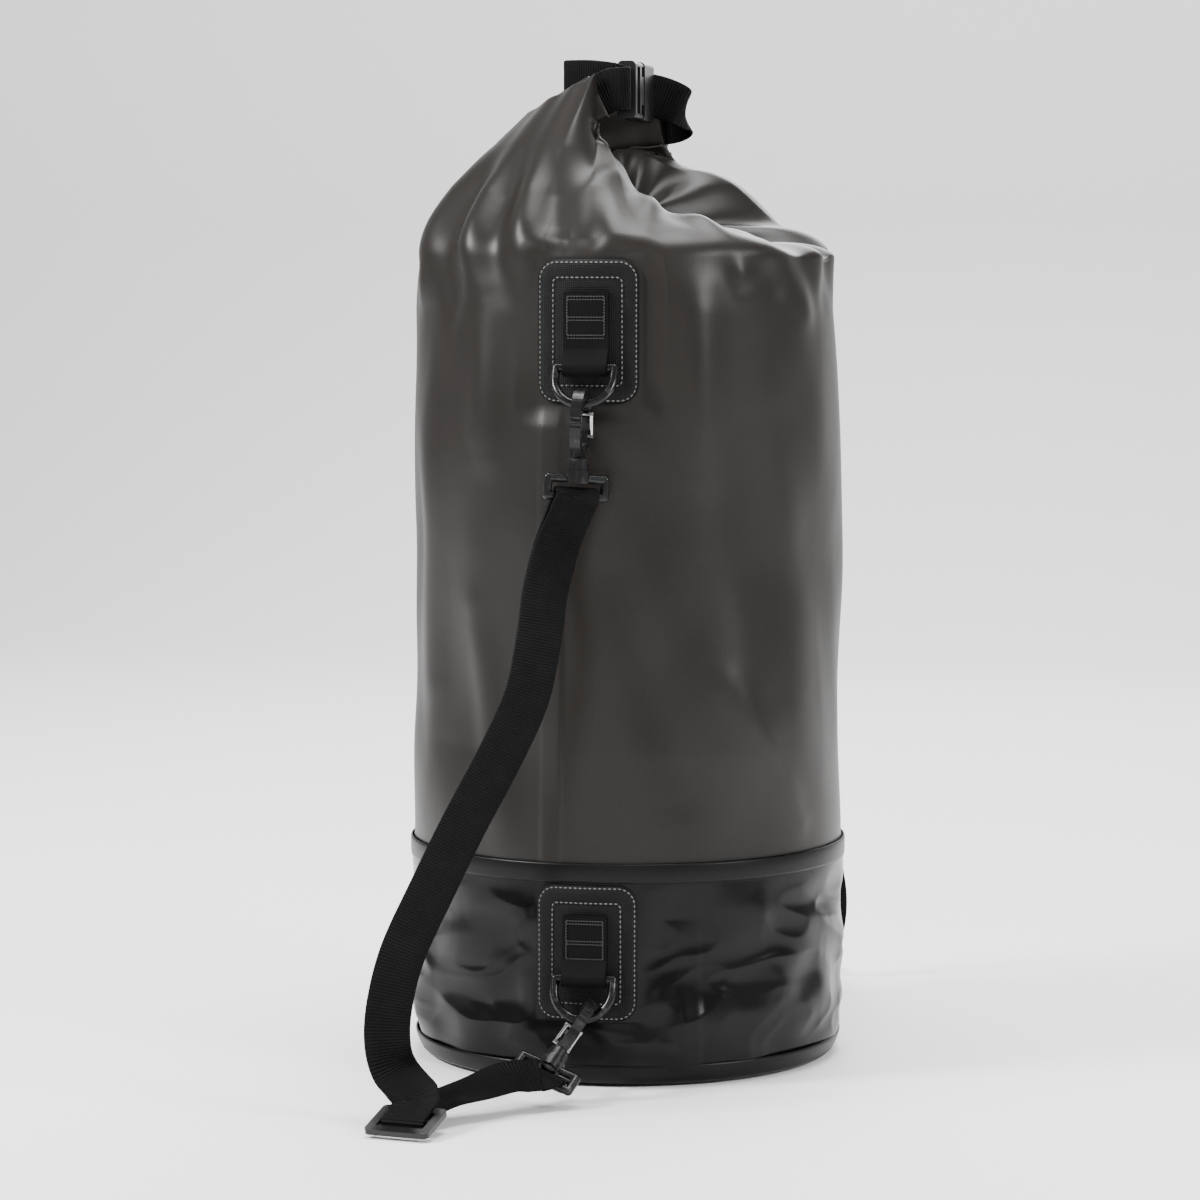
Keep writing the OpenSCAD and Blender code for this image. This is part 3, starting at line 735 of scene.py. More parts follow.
@dataclass
class Boot:
    """The black lower section with its foot curve, welded band and seam tape."""

    full_r: float
    base_r: float
    seam_z: float
    foot_h: float = 34 * MM
    columns: int = 520
    rows: int = 110

    def radius(self, z: np.ndarray) -> np.ndarray:
        """The boot's outer radius at some heights."""
        share = np.clip(1 - z / self.foot_h, 0, 1)
        return self.base_r + (self.full_r - self.base_r) * np.sqrt(np.maximum(1 - share ** 2, 0))

    def dent(self, points: np.ndarray) -> np.ndarray:
        """How far the crinkles move each point of the boot out."""
        z = points[:, 2]
        angle = np.arctan2(points[:, 1], points[:, 0])
        free = np.clip(z / 0.02, 0, 1) * np.clip((self.seam_z - 0.012 - z) / 0.02, 0, 1)
        waves = 0.0011 * np.sin(60 * z + 3.0 * np.sin(2 * angle + 0.5)) * np.sin(3 * angle + 1.2)
        bumps = np.array([
            0.0042 * noise.noise(Vector((p[0] * 24, p[1] * 24, p[2] * 34)))
            + 0.0026 * noise.ridged_multi_fractal(Vector((p[0] * 15, p[1] * 15, p[2] * 30)), 1, 2, 2.6, 1, 2)
            for p in points
        ])
        weld = (angle - math.radians(-66)) * self.full_r
        line = 0.0007 * 0.5 * (np.tanh(weld / 0.0008) - np.tanh((weld - 0.012) / 0.0008))
        clear = clear_of_patch(points, Level.LOWER)
        return free * clear * (waves + bumps + line - 0.0030) - 0.0006 * (1 - clear)

    def ring(self, z: np.ndarray, extra: np.ndarray, dents: bool) -> np.ndarray:
        """Rows of points round the boot.

        Args:
            z: the rows' heights.
            extra: how far each row stands out of the boot.
            dents: whether the crinkles show.

        Returns:
            The points, row by row.
        """
        angle = np.linspace(0, 2 * math.pi, self.columns, endpoint=False)
        r = self.radius(z) + extra
        points = np.stack([np.outer(r, np.cos(angle)), np.outer(r, np.sin(angle)),
                           np.repeat(z[:, None], self.columns, axis=1)], axis=2).reshape(-1, 3)
        if dents:
            lift = self.dent(points)
            points[:, :2] += np.stack([np.cos(np.tile(angle, len(z))), np.sin(np.tile(angle, len(z)))],
                                      axis=1) * lift[:, None]
        return points

    def sleeve(self, name: str, z: np.ndarray, extra: np.ndarray, finish: Finish,
               dents: bool) -> bpy.types.Object:
        """A closed sleeve round the boot.

        Args:
            name: the piece's name.
            z: the rows' heights.
            extra: how far each row stands out of the boot.
            finish: its finish.
            dents: whether the crinkles show.

        Returns:
            The new object.
        """
        points = self.ring(z, extra, dents)
        angle = np.linspace(0, 2 * math.pi, self.columns, endpoint=False)
        uv = np.stack([np.tile(angle * self.full_r, len(z)), points[:, 2]], axis=1)
        return make_object(name, points, grid_faces(len(z), self.columns, True), finish, uv)

    def build(self) -> list[bpy.types.Object]:
        """Builds the boot, the foot's band and the seam tape.

        Returns:
            The new objects, in that order.
        """
        z = np.linspace(0.0005, self.seam_z, self.rows)
        boot = self.sleeve("boot_fabric", z, np.zeros(len(z)), BOOT, True)
        thicken(boot, 1.0 * MM)
        band_z = np.array([2.0, 2.1, 3.2, 7, 11, 12.8, 13.0]) * MM
        band_out = np.array([0.0, 0.8, 1.1, 1.1, 1.1, 0.8, 0.0]) * MM
        band = self.sleeve("foot_weld_band", band_z, band_out, TAPE, False)
        top = self.seam_z
        tape_z = np.array([top - 0.0110, top - 0.0109, top - 0.0095, top - 0.0055, top - 0.001,
                           top, top])
        tape_out = np.array([-0.3, 0.7, 1.0, 1.0, 1.0, 0.7, -1.2]) * MM
        tape = self.sleeve("seam_weld_tape", tape_z, tape_out, TAPE, False)
        return [boot, band, tape]


@dataclass
class RolledMouth:
    """The rolled band of fabric that closes the bag."""

    mouth: Mouth
    sides: int = 20

    def build(self) -> bpy.types.Object:
        """Sweeps a flattened roll, slimmer at its ends, along the mouth's line.

        Returns:
            The new object.
        """
        line = self.mouth.line(10)
        run = directions(line)
        up = np.array([0.0, 0.0, 1.0])
        ways = up - run * (run @ up)[:, None]
        ways /= np.linalg.norm(ways, axis=1, keepdims=True)
        out = np.cross(run, ways)
        half_w, half_t = self.mouth.roll_w / 2, self.mouth.roll_t / 2
        points, uv = [], []
        for i, middle in enumerate(line):
            ends = min(i, len(line) - 1 - i) / 6
            slim = 0.62 + 0.38 * min(1.0, ends)
            for s in range(self.sides):
                a = 2 * math.pi * s / self.sides
                w = math.copysign(abs(math.sin(a)) ** 0.7, math.sin(a)) * half_w
                t = math.copysign(abs(math.cos(a)) ** 0.6, math.cos(a)) * half_t * slim
                wobble = 0.0006 * noise.noise(Vector(tuple(middle * 60))) * (1 + s % 2)
                points.append(middle + ways[i] * w + out[i] * (t + wobble))
                uv.append((i * 0.004, s * 0.003))
        n = self.sides
        faces = grid_faces(len(line), n, True)
        faces += [tuple(reversed(range(n))), tuple(range((len(line) - 1) * n, len(line) * n))]
        made = make_object("rolled_mouth", np.array(points), faces, TAUPE, np.array(uv))
        soft = made.modifiers.new("soft_edges", "SUBSURF")
        soft.levels = soft.render_levels = 1
        return made


# ---------------------------------------------------------------- patches and tabs


@dataclass
class Patch:
    """A welded patch with a raised rim, a sewn inner rectangle and a sewn edge."""

    side: Side
    level: Level
    corner: float = 11 * MM

    def node(self, kind: str) -> str:
        """The name of one of this station's CAD nodes."""
        return f"{kind}_{self.side.word}_{self.level.value}"

    def outline_gap(self, x: np.ndarray, z: np.ndarray, half_w: float, half_h: float,
                    corner: float) -> np.ndarray:
        """How far inside a rounded rectangle some points are.

        Args:
            x: the points' places across.
            z: the points' places up.
            half_w: half of the rectangle's width.
            half_h: half of its height.
            corner: its corner radius.

        Returns:
            The distance to the outline, above 0 inside.
        """
        dx = np.abs(x) - (half_w - corner)
        dz = np.abs(z) - (half_h - corner)
        outside = np.hypot(np.maximum(dx, 0), np.maximum(dz, 0)) - corner
        return -(outside + np.minimum(np.maximum(dx, dz), 0))

    def build(self) -> list[bpy.types.Object]:
        """Builds the patch and its stitching.

        Returns:
            The new objects, the patch first.
        """
        low, high = (np.array(c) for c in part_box(self.node("patch")))
        half_w, half_h = (high[0] - low[0]) / 2, (high[2] - low[2]) / 2
        mid_z = (high[2] + low[2]) / 2
        face_r = max(abs(low[1]), abs(high[1]))
        rings, around = 16, 120
        points, uv = [], []
        for k in range(rings + 1):
            share = k / rings
            for s in range(around):
                x, z = self.edge_point(s / around, half_w, half_h)
                inward = 1 - share
                px, pz = x * inward, z * inward
                depth = float(self.outline_gap(np.array([px]), np.array([pz]), half_w, half_h,
                                               self.corner)[0])
                points.append(self.on_bag(px, pz, mid_z, face_r, self.relief(depth)))
                uv.append((px, pz))
        skirt = []
        for s in range(around):
            x, z = self.edge_point(s / around, half_w, half_h)
            skirt.append(self.on_bag(x * 1.002, z * 1.002, mid_z, face_r, -2.0 * MM))
            uv.insert(s, (x, z))
        points = skirt + points
        faces = grid_faces(rings + 2, around, True)
        if self.side is Side.BACK:
            faces = list(faces)
        patch = make_object(self.node("patch") + "_fabric", self.side.turn(np.array(points)), faces,
                            PATCH,
                            np.array(uv))
        rows = [self.sewn_line(half_w - 9.5 * MM, half_h - 10 * MM, 3 * MM, mid_z, face_r, "inner",
                               THREAD)]
        rows.append(self.sewn_line(half_w - 1.6 * MM, half_h - 1.6 * MM, self.corner - 1.6 * MM, mid_z,
                                   face_r, "edge", THREAD))
        return [patch, *rows]

    def relief(self, depth: float) -> float:
        """How far the patch stands out of its face at a depth inside its outline."""
        rim = 0.5 * MM * math.exp(-(((depth - 4 * MM) / (3 * MM)) ** 2))
        groove = -0.6 * MM * math.exp(-(((depth - 9.7 * MM) / (0.8 * MM)) ** 2))
        edge = -1.2 * MM * math.exp(-((depth / (0.7 * MM)) ** 2))
        return rim + groove + edge

    def edge_point(self, share: float, half_w: float, half_h: float, corner: float | None = None
                   ) -> tuple[float, float]:
        """A point of the rounded outline.

        Args:
            share: how far round the outline, from 0 to 1.
            half_w: half of the outline's width.
            half_h: half of its height.
            corner: its corner radius, or None for the patch's own.

        Returns:
            The point's place across and up.
        """
        r = self.corner if corner is None else corner
        flat_w, flat_h, bend = 2 * (half_w - r), 2 * (half_h - r), math.pi * r / 2
        far = share * (2 * flat_w + 2 * flat_h + 4 * bend)
        corners = [(1, 1, 0), (-1, 1, 90), (-1, -1, 180), (1, -1, 270)]
        far_now = far
        x, z = half_w, -flat_h / 2
        for i, (sx, sz, start) in enumerate(corners):
            straight = flat_h if i % 2 == 0 else flat_w
            if far_now <= straight:
                a = math.radians(start)
                run = (-math.sin(a), math.cos(a))
                return x + run[0] * far_now, z + run[1] * far_now
            far_now -= straight
            if far_now <= bend:
                a = math.radians(start) + far_now / r
                return sx * (half_w - r) + r * math.cos(a), sz * (half_h - r) + r * math.sin(a)
            far_now -= bend
            a = math.radians(start + 90)
            x, z = sx * (half_w - r) + r * math.cos(a), sz * (half_h - r) + r * math.sin(a)
        return half_w, -flat_h / 2

    def on_bag(self, x: float, z: float, mid_z: float, face_r: float, out: float) -> Point:
        """A point of the patch, bent round the bag."""
        angle = x / face_r
        r = face_r + out
        return (math.sin(angle) * r, -math.cos(angle) * r, mid_z + z)

    def sewn_line(self, half_w: float, half_h: float, corner: float, mid_z: float, face_r: float,
                  word: str, finish: Finish) -> bpy.types.Object:
        """A row of stitches round the patch.

        Args:
            half_w: half of the row's width.
            half_h: half of its height.
            corner: its corner radius.
            mid_z: the height of the patch's middle.
            face_r: the radius of the patch's face.
            word: the row's word in the piece's name.
            finish: the thread's finish.

        Returns:
            The new object.
        """
        lift = 0.15 * MM if word == "inner" else -0.1 * MM
        line = [self.on_bag(*self.edge_point(s / 200, half_w, half_h, corner), mid_z, face_r, lift)
                for s in range(201)]
        line = self.side.turn(np.array(line))
        return stitches(self.node("patch") + f"_{word}_stitches", line, radial, finish)


def radial(point: np.ndarray) -> np.ndarray:
    """The way out from the bag's axis at a point."""
    way = np.array([point[0], point[1], 0.0])
    return way / max(np.linalg.norm(way), 1e-9)


@dataclass
class TabStitching:
    """Bar tacks and edge rows across a webbing tab."""

    side: Side
    level: Level

    def build(self) -> bpy.types.Object:
        """Builds the rows of stitches on the tab's face.

        Returns:
            The new object.
        """
        low, high = (np.array(c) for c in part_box(f"tab_{self.side.word}_{self.level.value}"))
        face = low[1] if self.side is Side.FRONT else high[1]
        bag_side = 1 if self.side is Side.FRONT else -1
        flat_face = face + bag_side * (abs(high[1] - low[1]) - 4.0 * MM)
        top = high[2]
        half = (high[0] - low[0]) / 2 - 2 * MM
        lines = []
        for drop in (2.5, 4.2, 14.0, 15.7, 24.0, 25.7):
            z = top - drop * MM
            lines.append(np.array([[-half, flat_face, z], [half, flat_face, z]]))
        for x in (-half, half):
            lines.append(np.array([[x, flat_face, top - 2.5 * MM], [x, flat_face, top - 24 * MM]]))
        way = np.array([0.0, -bag_side, 0.0])
        made = [stitches(f"tack_{i}", line, lambda p: way, DARK_THREAD, 0.0016, 0.0014)
                for i, line in enumerate(lines)]
        return join(made, f"tab_{self.side.word}_{self.level.value}_stitches")


def join(objects: list[bpy.types.Object], name: str) -> bpy.types.Object:
    """Joins mesh objects into the first one.

    Args:
        objects: the objects to join.
        name: the joined object's name.

    Returns:
        The joined object.
    """
    points, faces, start = [], [], 0
    for obj in objects:
        points += [tuple(v.co) for v in obj.data.vertices]
        faces += [tuple(i + start for i in p.vertices) for p in obj.data.polygons]
        start += len(obj.data.vertices)
    material = objects[0].data.materials[0]
    mesh = bpy.data.meshes.new(name)
    mesh.from_pydata(points, [], faces)
    mesh.materials.append(material)
    mesh.polygons.foreach_set("use_smooth", [True] * len(mesh.polygons))
    for obj in objects:
        bpy.data.objects.remove(obj)
    made = bpy.data.objects.new(name, mesh)
    bpy.context.scene.collection.objects.link(made)
    return made


# ---------------------------------------------------------------- straps


@dataclass(frozen=True)
class EyeBar:
    """A strap eye's bar on the front side, with the directions about it.

    Args:
        middle: the bar's middle, in millimetres.
        along: the way along the bar.
        out: the way off the bag, across the eye.
        up: the way to the hook.
    """

    middle: Point
    along: Point
    out: Point
    up: Point

    def turn(self, degrees: Sequence[float], radius: float = 4.3) -> list[np.ndarray]:
        """Points of the webbing's turn over the bar, from the outside at 0 to the inside at 180."""
        middle, out, up = np.array(self.middle), np.array(self.out), np.array(self.up)
        return [middle + (out * math.cos(math.radians(a)) + up * math.sin(math.radians(a))) * radius
                for a in degrees]


    def lead(self, degrees: float, far: np.ndarray) -> list[np.ndarray]:
        """Two points that lead from the turn at some angle to a far point, nearest first."""
        near = self.turn((degrees,))[0]
        return [near + (far - near) * 0.12, near + (far - near) * 0.38]


UPPER_EYE = EyeBar((-2.7, -144.2, 335.3), (0.882, 0.466, -0.071), (0.469, -0.883, 0.022),
                   (0.052, 0.052, 0.997))
LOWER_EYE = EyeBar((-14.9, -180.2, 15.9), (0.930, -0.122, -0.346), (0.198, -0.627, 0.754),
                   (0.309, 0.769, 0.559))


def turned(way: Point, degrees: float) -> np.ndarray:
    """A direction turned about the upright axis."""
    a = math.radians(degrees)
    return np.array([way[0] * math.cos(a) - way[1] * math.sin(a),
                     way[0] * math.sin(a) + way[1] * math.cos(a), way[2]])


@dataclass
class ShoulderStrap:
    """The webbing strap between two hooks: doubled from the upper eye to the slider, then single."""

    side: Side
    width: float = 25.0
    thick: float = 2.0
    slider_at: Point = (-72, -261, 7.4)
    slider_l: float = 30.0
    tilt: float = 15.0
    lift: float = 2.9
    outer: Sequence[Point] = (
        (-12, -149, 308), (-17, -157, 283), (-19, -165, 258), (-24, -174, 227), (-36, -187, 196),
        (-53, -202, 160), (-68, -217, 125), (-81, -229, 93), (-87, -235, 66), (-88, -237, 45),
        (-84, -236, 29),
    )
    gaps: Sequence[float] = (5, 3.4, 3.2, 3.2, 3.2, 3.2, 3.2, 3.2, 3.2, 3.2, 3.2)
    short: Sequence[Point] = ((-59, -226, 13), (-44, -209, 16), (-31, -193, 19))

    def on_slider(self, run: float, face: float) -> np.ndarray:
        """A point by its place on the slider: towards its front edge and out of its face."""
        tilt = math.radians(self.tilt)
        ahead = turned((0, -1, 0), -10) * math.cos(tilt) - np.array([0, 0, math.sin(tilt)])
        out = -np.cross(turned((1, 0, 0), -10), ahead)
        return np.array(self.slider_at) + ahead * run + out * face

    def outer_ways(self) -> np.ndarray:
        """The direction across the doubled length at each of its points."""
        last = len(self.outer) - 1
        return np.array([turned((1, 0, 0), 24 - 14 * i / last) for i in range(last + 1)])

    def inner(self) -> np.ndarray:
        """The points of the inner layer, behind the outer one."""
        outer = np.array(self.outer, float)
        steps = np.array([outer[min(i + 1, len(outer) - 1)] - outer[max(i - 1, 0)]
                          for i in range(len(outer))])
        run = steps / np.linalg.norm(steps, axis=1, keepdims=True)
        ways = self.outer_ways()
        ways = ways - run * (ways * run).sum(1, keepdims=True)
        ways /= np.linalg.norm(ways, axis=1, keepdims=True)
        face = np.cross(run, ways)
        face *= np.sign(face @ np.array([0, -1, 0.2]))[:, None]
        return outer - face * np.array(self.gaps)[:, None]

    def doubled_route(self) -> tuple[np.ndarray, np.ndarray]:
        """The doubled part's run, from its sewn end up, over the upper eye and down into the slider."""
        inner, outer = self.inner()[::-1], np.array(self.outer, float)
        ways = self.outer_ways()
        across = turned((1, 0, 0), -10)
        knots = [self.on_slider(-self.slider_l / 2 - 6, 2), *inner, *UPPER_EYE.lead(180, inner[-1])[::-1],
                 *UPPER_EYE.turn((180, 135, 90, 45, 0)), *UPPER_EYE.lead(0, outer[0]), *outer,
                 self.on_slider(-self.slider_l / 2 - 2, self.lift + 3.8), self.on_slider(-10, self.lift + 0.9),
                 self.on_slider(-5, self.lift), self.on_slider(0, self.lift)]
        sides = [across, *ways[::-1], *[np.array(UPPER_EYE.along)] * 9, *ways, *[across] * 4]
        return np.array(knots), np.array(sides)

    def single_route(self) -> tuple[np.ndarray, np.ndarray]:
        """The single part's run, from the slider's bar to its sewn end round the lower eye."""
        across = turned((1, 0, 0), -10)
        knots = [self.on_slider(0, self.lift), self.on_slider(3.5, self.lift * 0.72), self.on_slider(4.9, 0),
                 self.on_slider(3.5, -self.lift * 0.72), self.on_slider(0, -self.lift),
                 self.on_slider(-8, -self.lift), self.on_slider(-self.slider_l / 2 - 3, -self.lift),
                 *[np.array(p, float) for p in self.short],
                 *LOWER_EYE.lead(0, np.array(self.short[-1], float))[::-1],
                 *LOWER_EYE.turn((0, 45, 90, 135, 180))]
        sides = [*[across] * 7, turned((1, 0, -0.1), -28), turned((1, 0, -0.25), -24),
                 turned((1, 0, -0.4), -16), *[np.array(LOWER_EYE.along)] * 7]
        return np.array(knots), np.array(sides)

    def build(self) -> dict[str, bpy.types.Object]:
        """Builds both parts of the strap.

        Returns:
            The doubled part and the single part, by name.
        """
        made = {}
        for word, (knots, ways) in (("doubled", self.doubled_route()), ("single", self.single_route())):
            path = self.side.turn(smooth_line(knots, 7)) * MM
            across = self.side.turn(smooth_line(ways, 7))
            made[word] = ribbon(f"strap_{self.side.word}_{word}", path, across, self.width * MM,
                                self.thick * MM, WEB)
        return made

    def attach(self) -> dict[str, bpy.types.Object]:
        """Builds the strap, hides the CAD strap and bakes the pieces' transforms.

        Returns:
            The pieces.
        """
        made = self.build()
        word = self.side.word
        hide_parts(f"strap_{word}")
        top = self.side.turn(np.array(self.outer[3])) * MM
        eye = self.side.turn(np.array(self.outer[0])) * MM
        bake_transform(made["doubled"])
        start = self.side.turn(self.on_slider(-self.slider_l / 2 - 6, 0)) * MM
        end = self.side.turn(np.array(self.short[-1])) * MM
        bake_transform(made["single"])
        return made


# ---------------------------------------------------------------- the closure


@dataclass
class Closure:
    """The webbing ends and the free tail between the roll and the buckle."""

    mouth: Mouth
    width: float = 25 * MM
    thick: float = 2 * MM

    def web(self, name: str, knots: Sequence[Point],
            ways: np.ndarray | None = None) -> bpy.types.Object:
        """A webbing end on edge, along some knots given in metres."""
        path = smooth_line(np.array(knots), 8)
        upright = np.tile(np.array([0.0, 0.0, 1.0]), (len(path), 1))
        across = upright if ways is None else smooth_line(ways, 8)
        made = ribbon(name, path, across, self.width, self.thick, WEB)
        return made

    def build(self) -> list[bpy.types.Object]:
        """Builds the near end, the far end and the tail.

        Returns:
            The new objects, in that order.
        """
        line = self.mouth.line(5)
        near, far = line[0], line[-1]
        buckle = (np.array(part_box("buckle_socket")[0]) + np.array(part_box("buckle_socket")[1])) / 2
        z = buckle[2]
        high = far[2]
        out_near = near - line[1]
        out_near = out_near / np.linalg.norm(out_near)
        out_far = far - line[-2]
        out_far = out_far / np.linalg.norm(out_far)
        near_web = self.web("closure_webbing_near", [
            near - out_near * 3 * MM, near + out_near * 6 * MM, (2.5 * MM, -38 * MM, z - 0.5 * MM),
            (6.5 * MM, -33.5 * MM, z), (5 * MM, -28.5 * MM, z), (3.5 * MM, -24 * MM, z)])
        far_web = self.web("closure_webbing_far", [
            far - out_far * 3 * MM, far + out_far * 7 * MM, (25 * MM, 45.5 * MM, high + 0.25 * (z - high)),
            (24 * MM, 40 * MM, high + 0.55 * (z - high)), (14 * MM, 37 * MM, high + 0.85 * (z - high)),
            (3.5 * MM, 31.5 * MM, z)])
        tail = self.web("closure_webbing_tail", [
            (3.5 * MM, -25 * MM, z), (0, -29.5 * MM, z + 1.5 * MM), (-6 * MM, -30.5 * MM, z + 3 * MM),
            (-18 * MM, -25.5 * MM, z + 4.5 * MM), (-32 * MM, -17 * MM, z + 5 * MM),
            (-34.5 * MM, -13 * MM, z + 5 * MM), (-30 * MM, -12.2 * MM, z + 5 * MM),
            (-22 * MM, -18 * MM, z + 5 * MM)])
        return [near_web, far_web, tail]


# ---------------------------------------------------------------- carried-over hardware


def dress_hardware(frame: dict) -> None:
    """Gives every carried-over hard piece its finish.

    Args:
        frame: the loaded frame.
    """
    finishes = {
        "ring": RING_METAL, "eye": BLACK_METAL, "hook": BLACK_METAL, "gate": STEEL,
        "slider": PLASTIC, "buckle": PLASTIC, "tab": WEB, "base": BOOT, "roll": PLASTIC,
    }
    for name, obj in frame["nodes"].items():
        finish = finishes.get(name.split("_")[0])
        if finish is None:
            continue
        if not obj.material_slots:
            obj.data.materials.append(finish.material())
        for place in obj.material_slots:
            place.material = finish.material()
        LOG.info("dressed %s as %s", name, finish.name)


# ---------------------------------------------------------------- studio


@dataclass
class Studio:
    """The floor, the soft lights and the camera."""

    azimuth: float = 10.5
    distance: float = 2.274
    eye_z: float = 0.460
    aim_z: float = 0.266
    aim_side: float = -0.0165
    lens: float = 116.0

    def floor(self) -> None:
        """Adds a plain pale floor that curves up far behind the bag."""
        size, far, rise = 4.0, 2.2, 3.0
        profile = [(-size, 0.0), (far, 0.0)]
        profile += [(far + 0.8 * math.sin(math.radians(a)), 0.8 - 0.8 * math.cos(math.radians(a)))
                    for a in range(10, 91, 10)]
        profile += [(far + 0.8, rise)]
        points = [(x, y, z) for y, z in profile for x in (-size, size)]
        faces = grid_faces(len(profile), 2, False)
        made = make_object("floor", np.array(points), faces, FLOOR)

    def light(self, name: str, place: Point, aim: Point, size: float, watts: float) -> None:
        """Adds one soft area light.

        Args:
            name: the light's name.
            place: where it is.
            aim: what it points at.
            size: its side.
            watts: its power.
        """
        data = bpy.data.lights.new(name, "AREA")
        data.shape = "SQUARE"
        data.size = size
        data.energy = watts
        made = bpy.data.objects.new(name, data)
        made.location = place
        made.rotation_euler = (Vector(aim) - Vector(place)).to_track_quat("-Z", "Y").to_euler()
        bpy.context.scene.collection.objects.link(made)

    def camera(self) -> None:
        """Adds the camera at its viewing angle."""
        a = math.radians(self.azimuth)
        toward = np.array([math.sin(a), -math.cos(a), 0.0])
        right = np.array([math.cos(a), math.sin(a), 0.0])
        place = toward * self.distance + np.array([0, 0, self.eye_z])
        aim = right * self.aim_side + np.array([0, 0, self.aim_z])
        data = bpy.data.cameras.new("camera")
        data.lens = self.lens
        data.sensor_width = 36.0
        made = bpy.data.objects.new("camera", data)
        made.location = tuple(place)
        made.rotation_euler = Vector(aim - place).to_track_quat("-Z", "Y").to_euler()
        bpy.context.scene.collection.objects.link(made)
        bpy.context.scene.camera = made

    def build(self) -> None:
        """Builds the whole studio."""
        self.camera()
        self.floor()
        middle = (0.0, 0.0, 0.3)
        self.light("key_left", (-1.6, -1.0, 1.6), middle, 0.6, 84.0)
        self.light("key_right", (1.9, -0.8, 1.2), middle, 0.6, 40.0)
        self.light("top", (0.1, 0.1, 2.4), middle, 1.2, 76.0)
        self.light("front", (0.3, -2.6, 1.2), middle, 1.4, 10.0)
        self.light("back", (0.0, 2.0, 1.8), middle, 1.6, 60.0)
        world = bpy.data.worlds.new("pale_room")
        world.use_nodes = True
        world.node_tree.nodes["Background"].inputs["Color"].default_value = (1, 1, 1, 1)
        world.node_tree.nodes["Background"].inputs["Strength"].default_value = 0.42
        bpy.context.scene.world = world


# ---------------------------------------------------------------- the whole bag


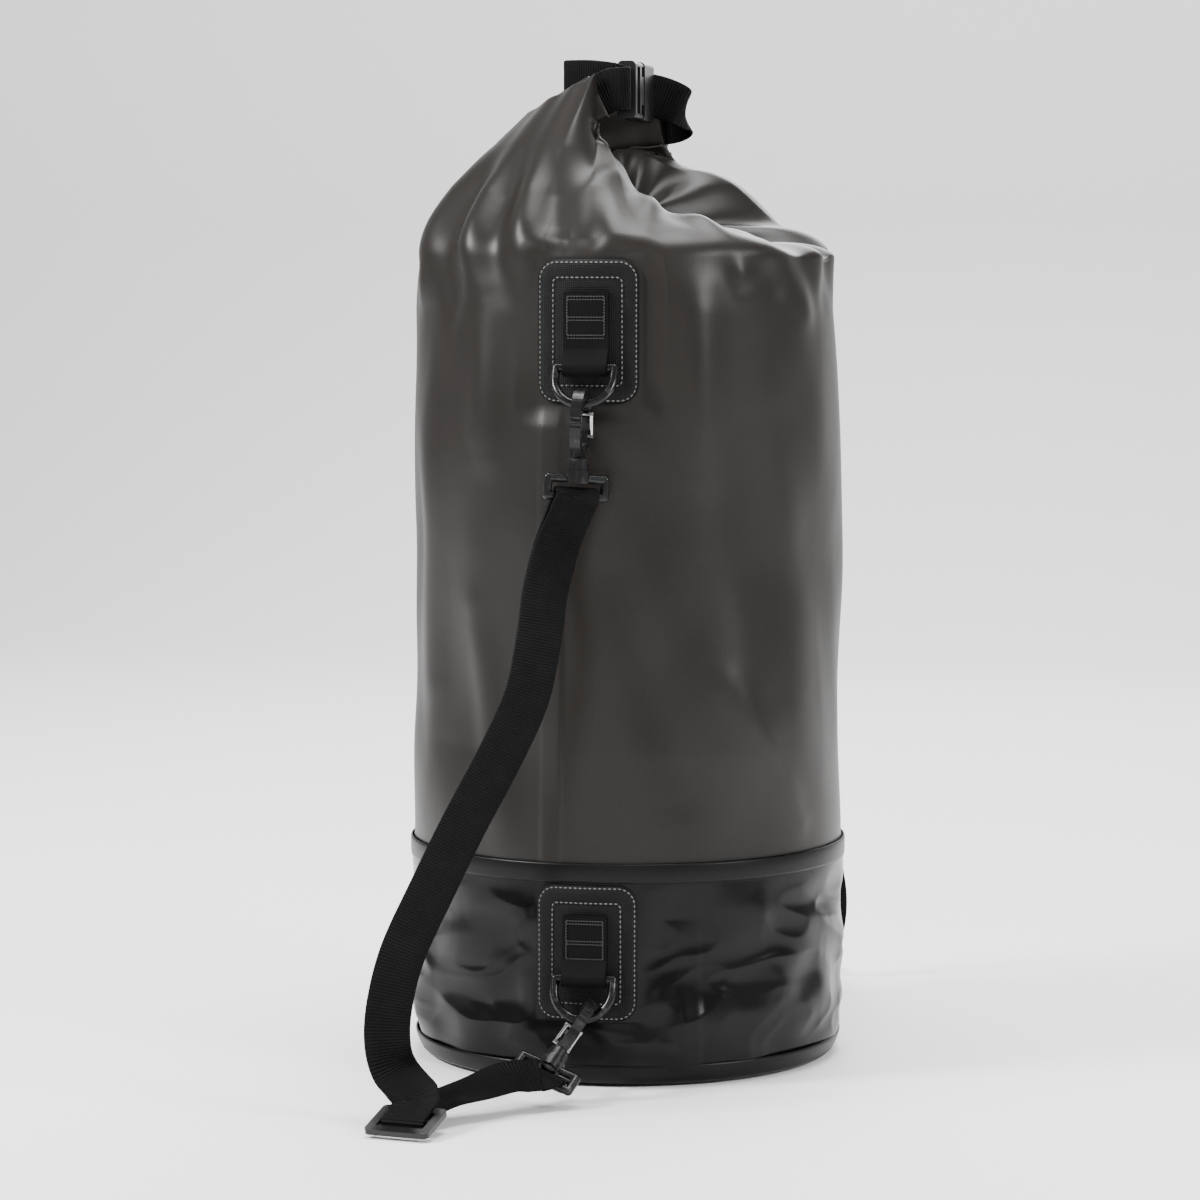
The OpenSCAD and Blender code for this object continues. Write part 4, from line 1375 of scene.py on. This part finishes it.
def upper_creases(shoulder_z: float) -> list[Crease]:
    """The folds of the shoulder and the roof, as they fall from the roll."""
    top = shoulder_z
    return [
        Crease((-0.009, -0.044, top + 0.080), (-0.004, -0.050, top + 0.058), -0.0060, 0.006),
        Crease((-0.004, -0.050, top + 0.060), (-0.002, -0.078, top + 0.038), -0.0075, 0.007),
        Crease((0.002, -0.075, top + 0.042), (-0.031, -0.118, top + 0.000), 0.0060, 0.007),
        Crease((0.026, -0.068, top + 0.040), (0.029, -0.117, top - 0.004), 0.0055, 0.007),
        Crease((-0.001, -0.080, top + 0.034), (0.002, -0.120, top + 0.004), -0.0070, 0.008),
        Crease((0.000, -0.046, top + 0.058), (0.036, -0.075, top + 0.036), 0.0060, 0.006),
        Crease((0.036, -0.075, top + 0.036), (0.081, -0.092, top - 0.012), 0.0055, 0.007),
        Crease((0.050, -0.066, top + 0.034), (0.096, -0.074, top - 0.016), -0.0050, 0.009),
        Crease((0.060, -0.045, top + 0.030), (0.112, -0.050, top - 0.030), 0.0045, 0.010),
        Crease((0.060, -0.010, top + 0.030), (0.118, -0.020, top - 0.020), -0.0040, 0.010),
        Crease((-0.052, -0.040, top + 0.060), (-0.012, -0.052, top + 0.072), -0.0045, 0.007),
        Crease((-0.050, -0.060, top + 0.050), (-0.085, -0.088, top - 0.030), -0.0055, 0.010),
        Crease((-0.060, -0.040, top + 0.040), (-0.108, -0.058, top - 0.020), 0.0050, 0.009),
        Crease((-0.062, -0.105, top - 0.020), (-0.060, -0.108, top - 0.110), 0.0034, 0.012),
        Crease((0.058, -0.108, top - 0.020), (0.062, -0.106, top - 0.120), 0.0034, 0.012),
        Crease((0.090, -0.085, top - 0.100), (0.098, -0.078, top - 0.240), -0.0036, 0.018),
        Crease((-0.100, -0.072, top - 0.060), (-0.106, -0.066, top - 0.240), 0.0036, 0.016),
        Crease((0.020, -0.124, top - 0.180), (0.050, -0.114, top - 0.300), -0.0030, 0.014),
        Crease((-0.070, -0.102, top - 0.200), (-0.050, -0.114, top - 0.330), 0.0030, 0.012),
        Crease((0.075, -0.098, top - 0.240), (0.110, -0.058, top - 0.320), 0.0030, 0.010),
    ]


# How high the roll's middle stands over its lowest point, how far the upper fabric reaches down
# behind the seam tape, and the bag's radius at the shoulder and at the foot.
ROLL_HALF = 13.5 * MM
SEAM_LAP = 4 * MM
SHOULDER_R = 122.5 * MM
BASE_R = 117 * MM


def main() -> None:
    """Builds the scene, sub-assembly by sub-assembly."""
    logging.basicConfig(level=logging.INFO, format="%(message)s")
    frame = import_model()
    Studio().build()
    LOG.info("studio built")

    body_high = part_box("upper_body")[1]
    boot_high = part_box("lower_boot")[1]
    roll_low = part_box("mouth_roll")[0]
    mouth = Mouth(low_z=roll_low[2] + ROLL_HALF)

    upper = UpperBag(seam_r=body_high[0], seam_z=boot_high[2], low_z=boot_high[2] - SEAM_LAP,
                     shoulder_r=SHOULDER_R, shoulder_z=body_high[2], mouth=mouth,
                     creases=upper_creases(body_high[2]))
    fabric = upper.build()
    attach(fabric, "bag")
    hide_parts("upper_body", "roof")
    LOG.info("upper fabric built")

    boot = Boot(full_r=boot_high[0], base_r=BASE_R, seam_z=boot_high[2])
    for piece, node in zip(boot.build(), ("lower_boot", "bottom_band", "seam_band")):
        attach(piece, "bag")
        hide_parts(node)
        LOG.info("%s built", piece.name)

    roll = RolledMouth(mouth).build()
    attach(roll, "bag")
    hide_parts("mouth_roll")
    LOG.info("rolled mouth built")

    for side in Side:
        for level in Level:
            pieces = Patch(side, level).build()
            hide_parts(f"patch_{side.word}_{level.value}")
            pieces.append(TabStitching(side, level).build())
            for piece in pieces:
                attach(piece, "bag")
            LOG.info("patch %s %s built", side.word, level.value)
        ShoulderStrap(side).attach()
        LOG.info("strap %s built", side.word)

    near_web, far_web, tail = Closure(mouth).build()
    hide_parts("closure_web_near")
    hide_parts("closure_web_far")
    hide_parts("closure_tail")
    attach(far_web, "bag")
    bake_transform(near_web)
    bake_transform(tail)
    LOG.info("closure built")

    dress_hardware(frame)


if __name__ == "__main__":
    main()
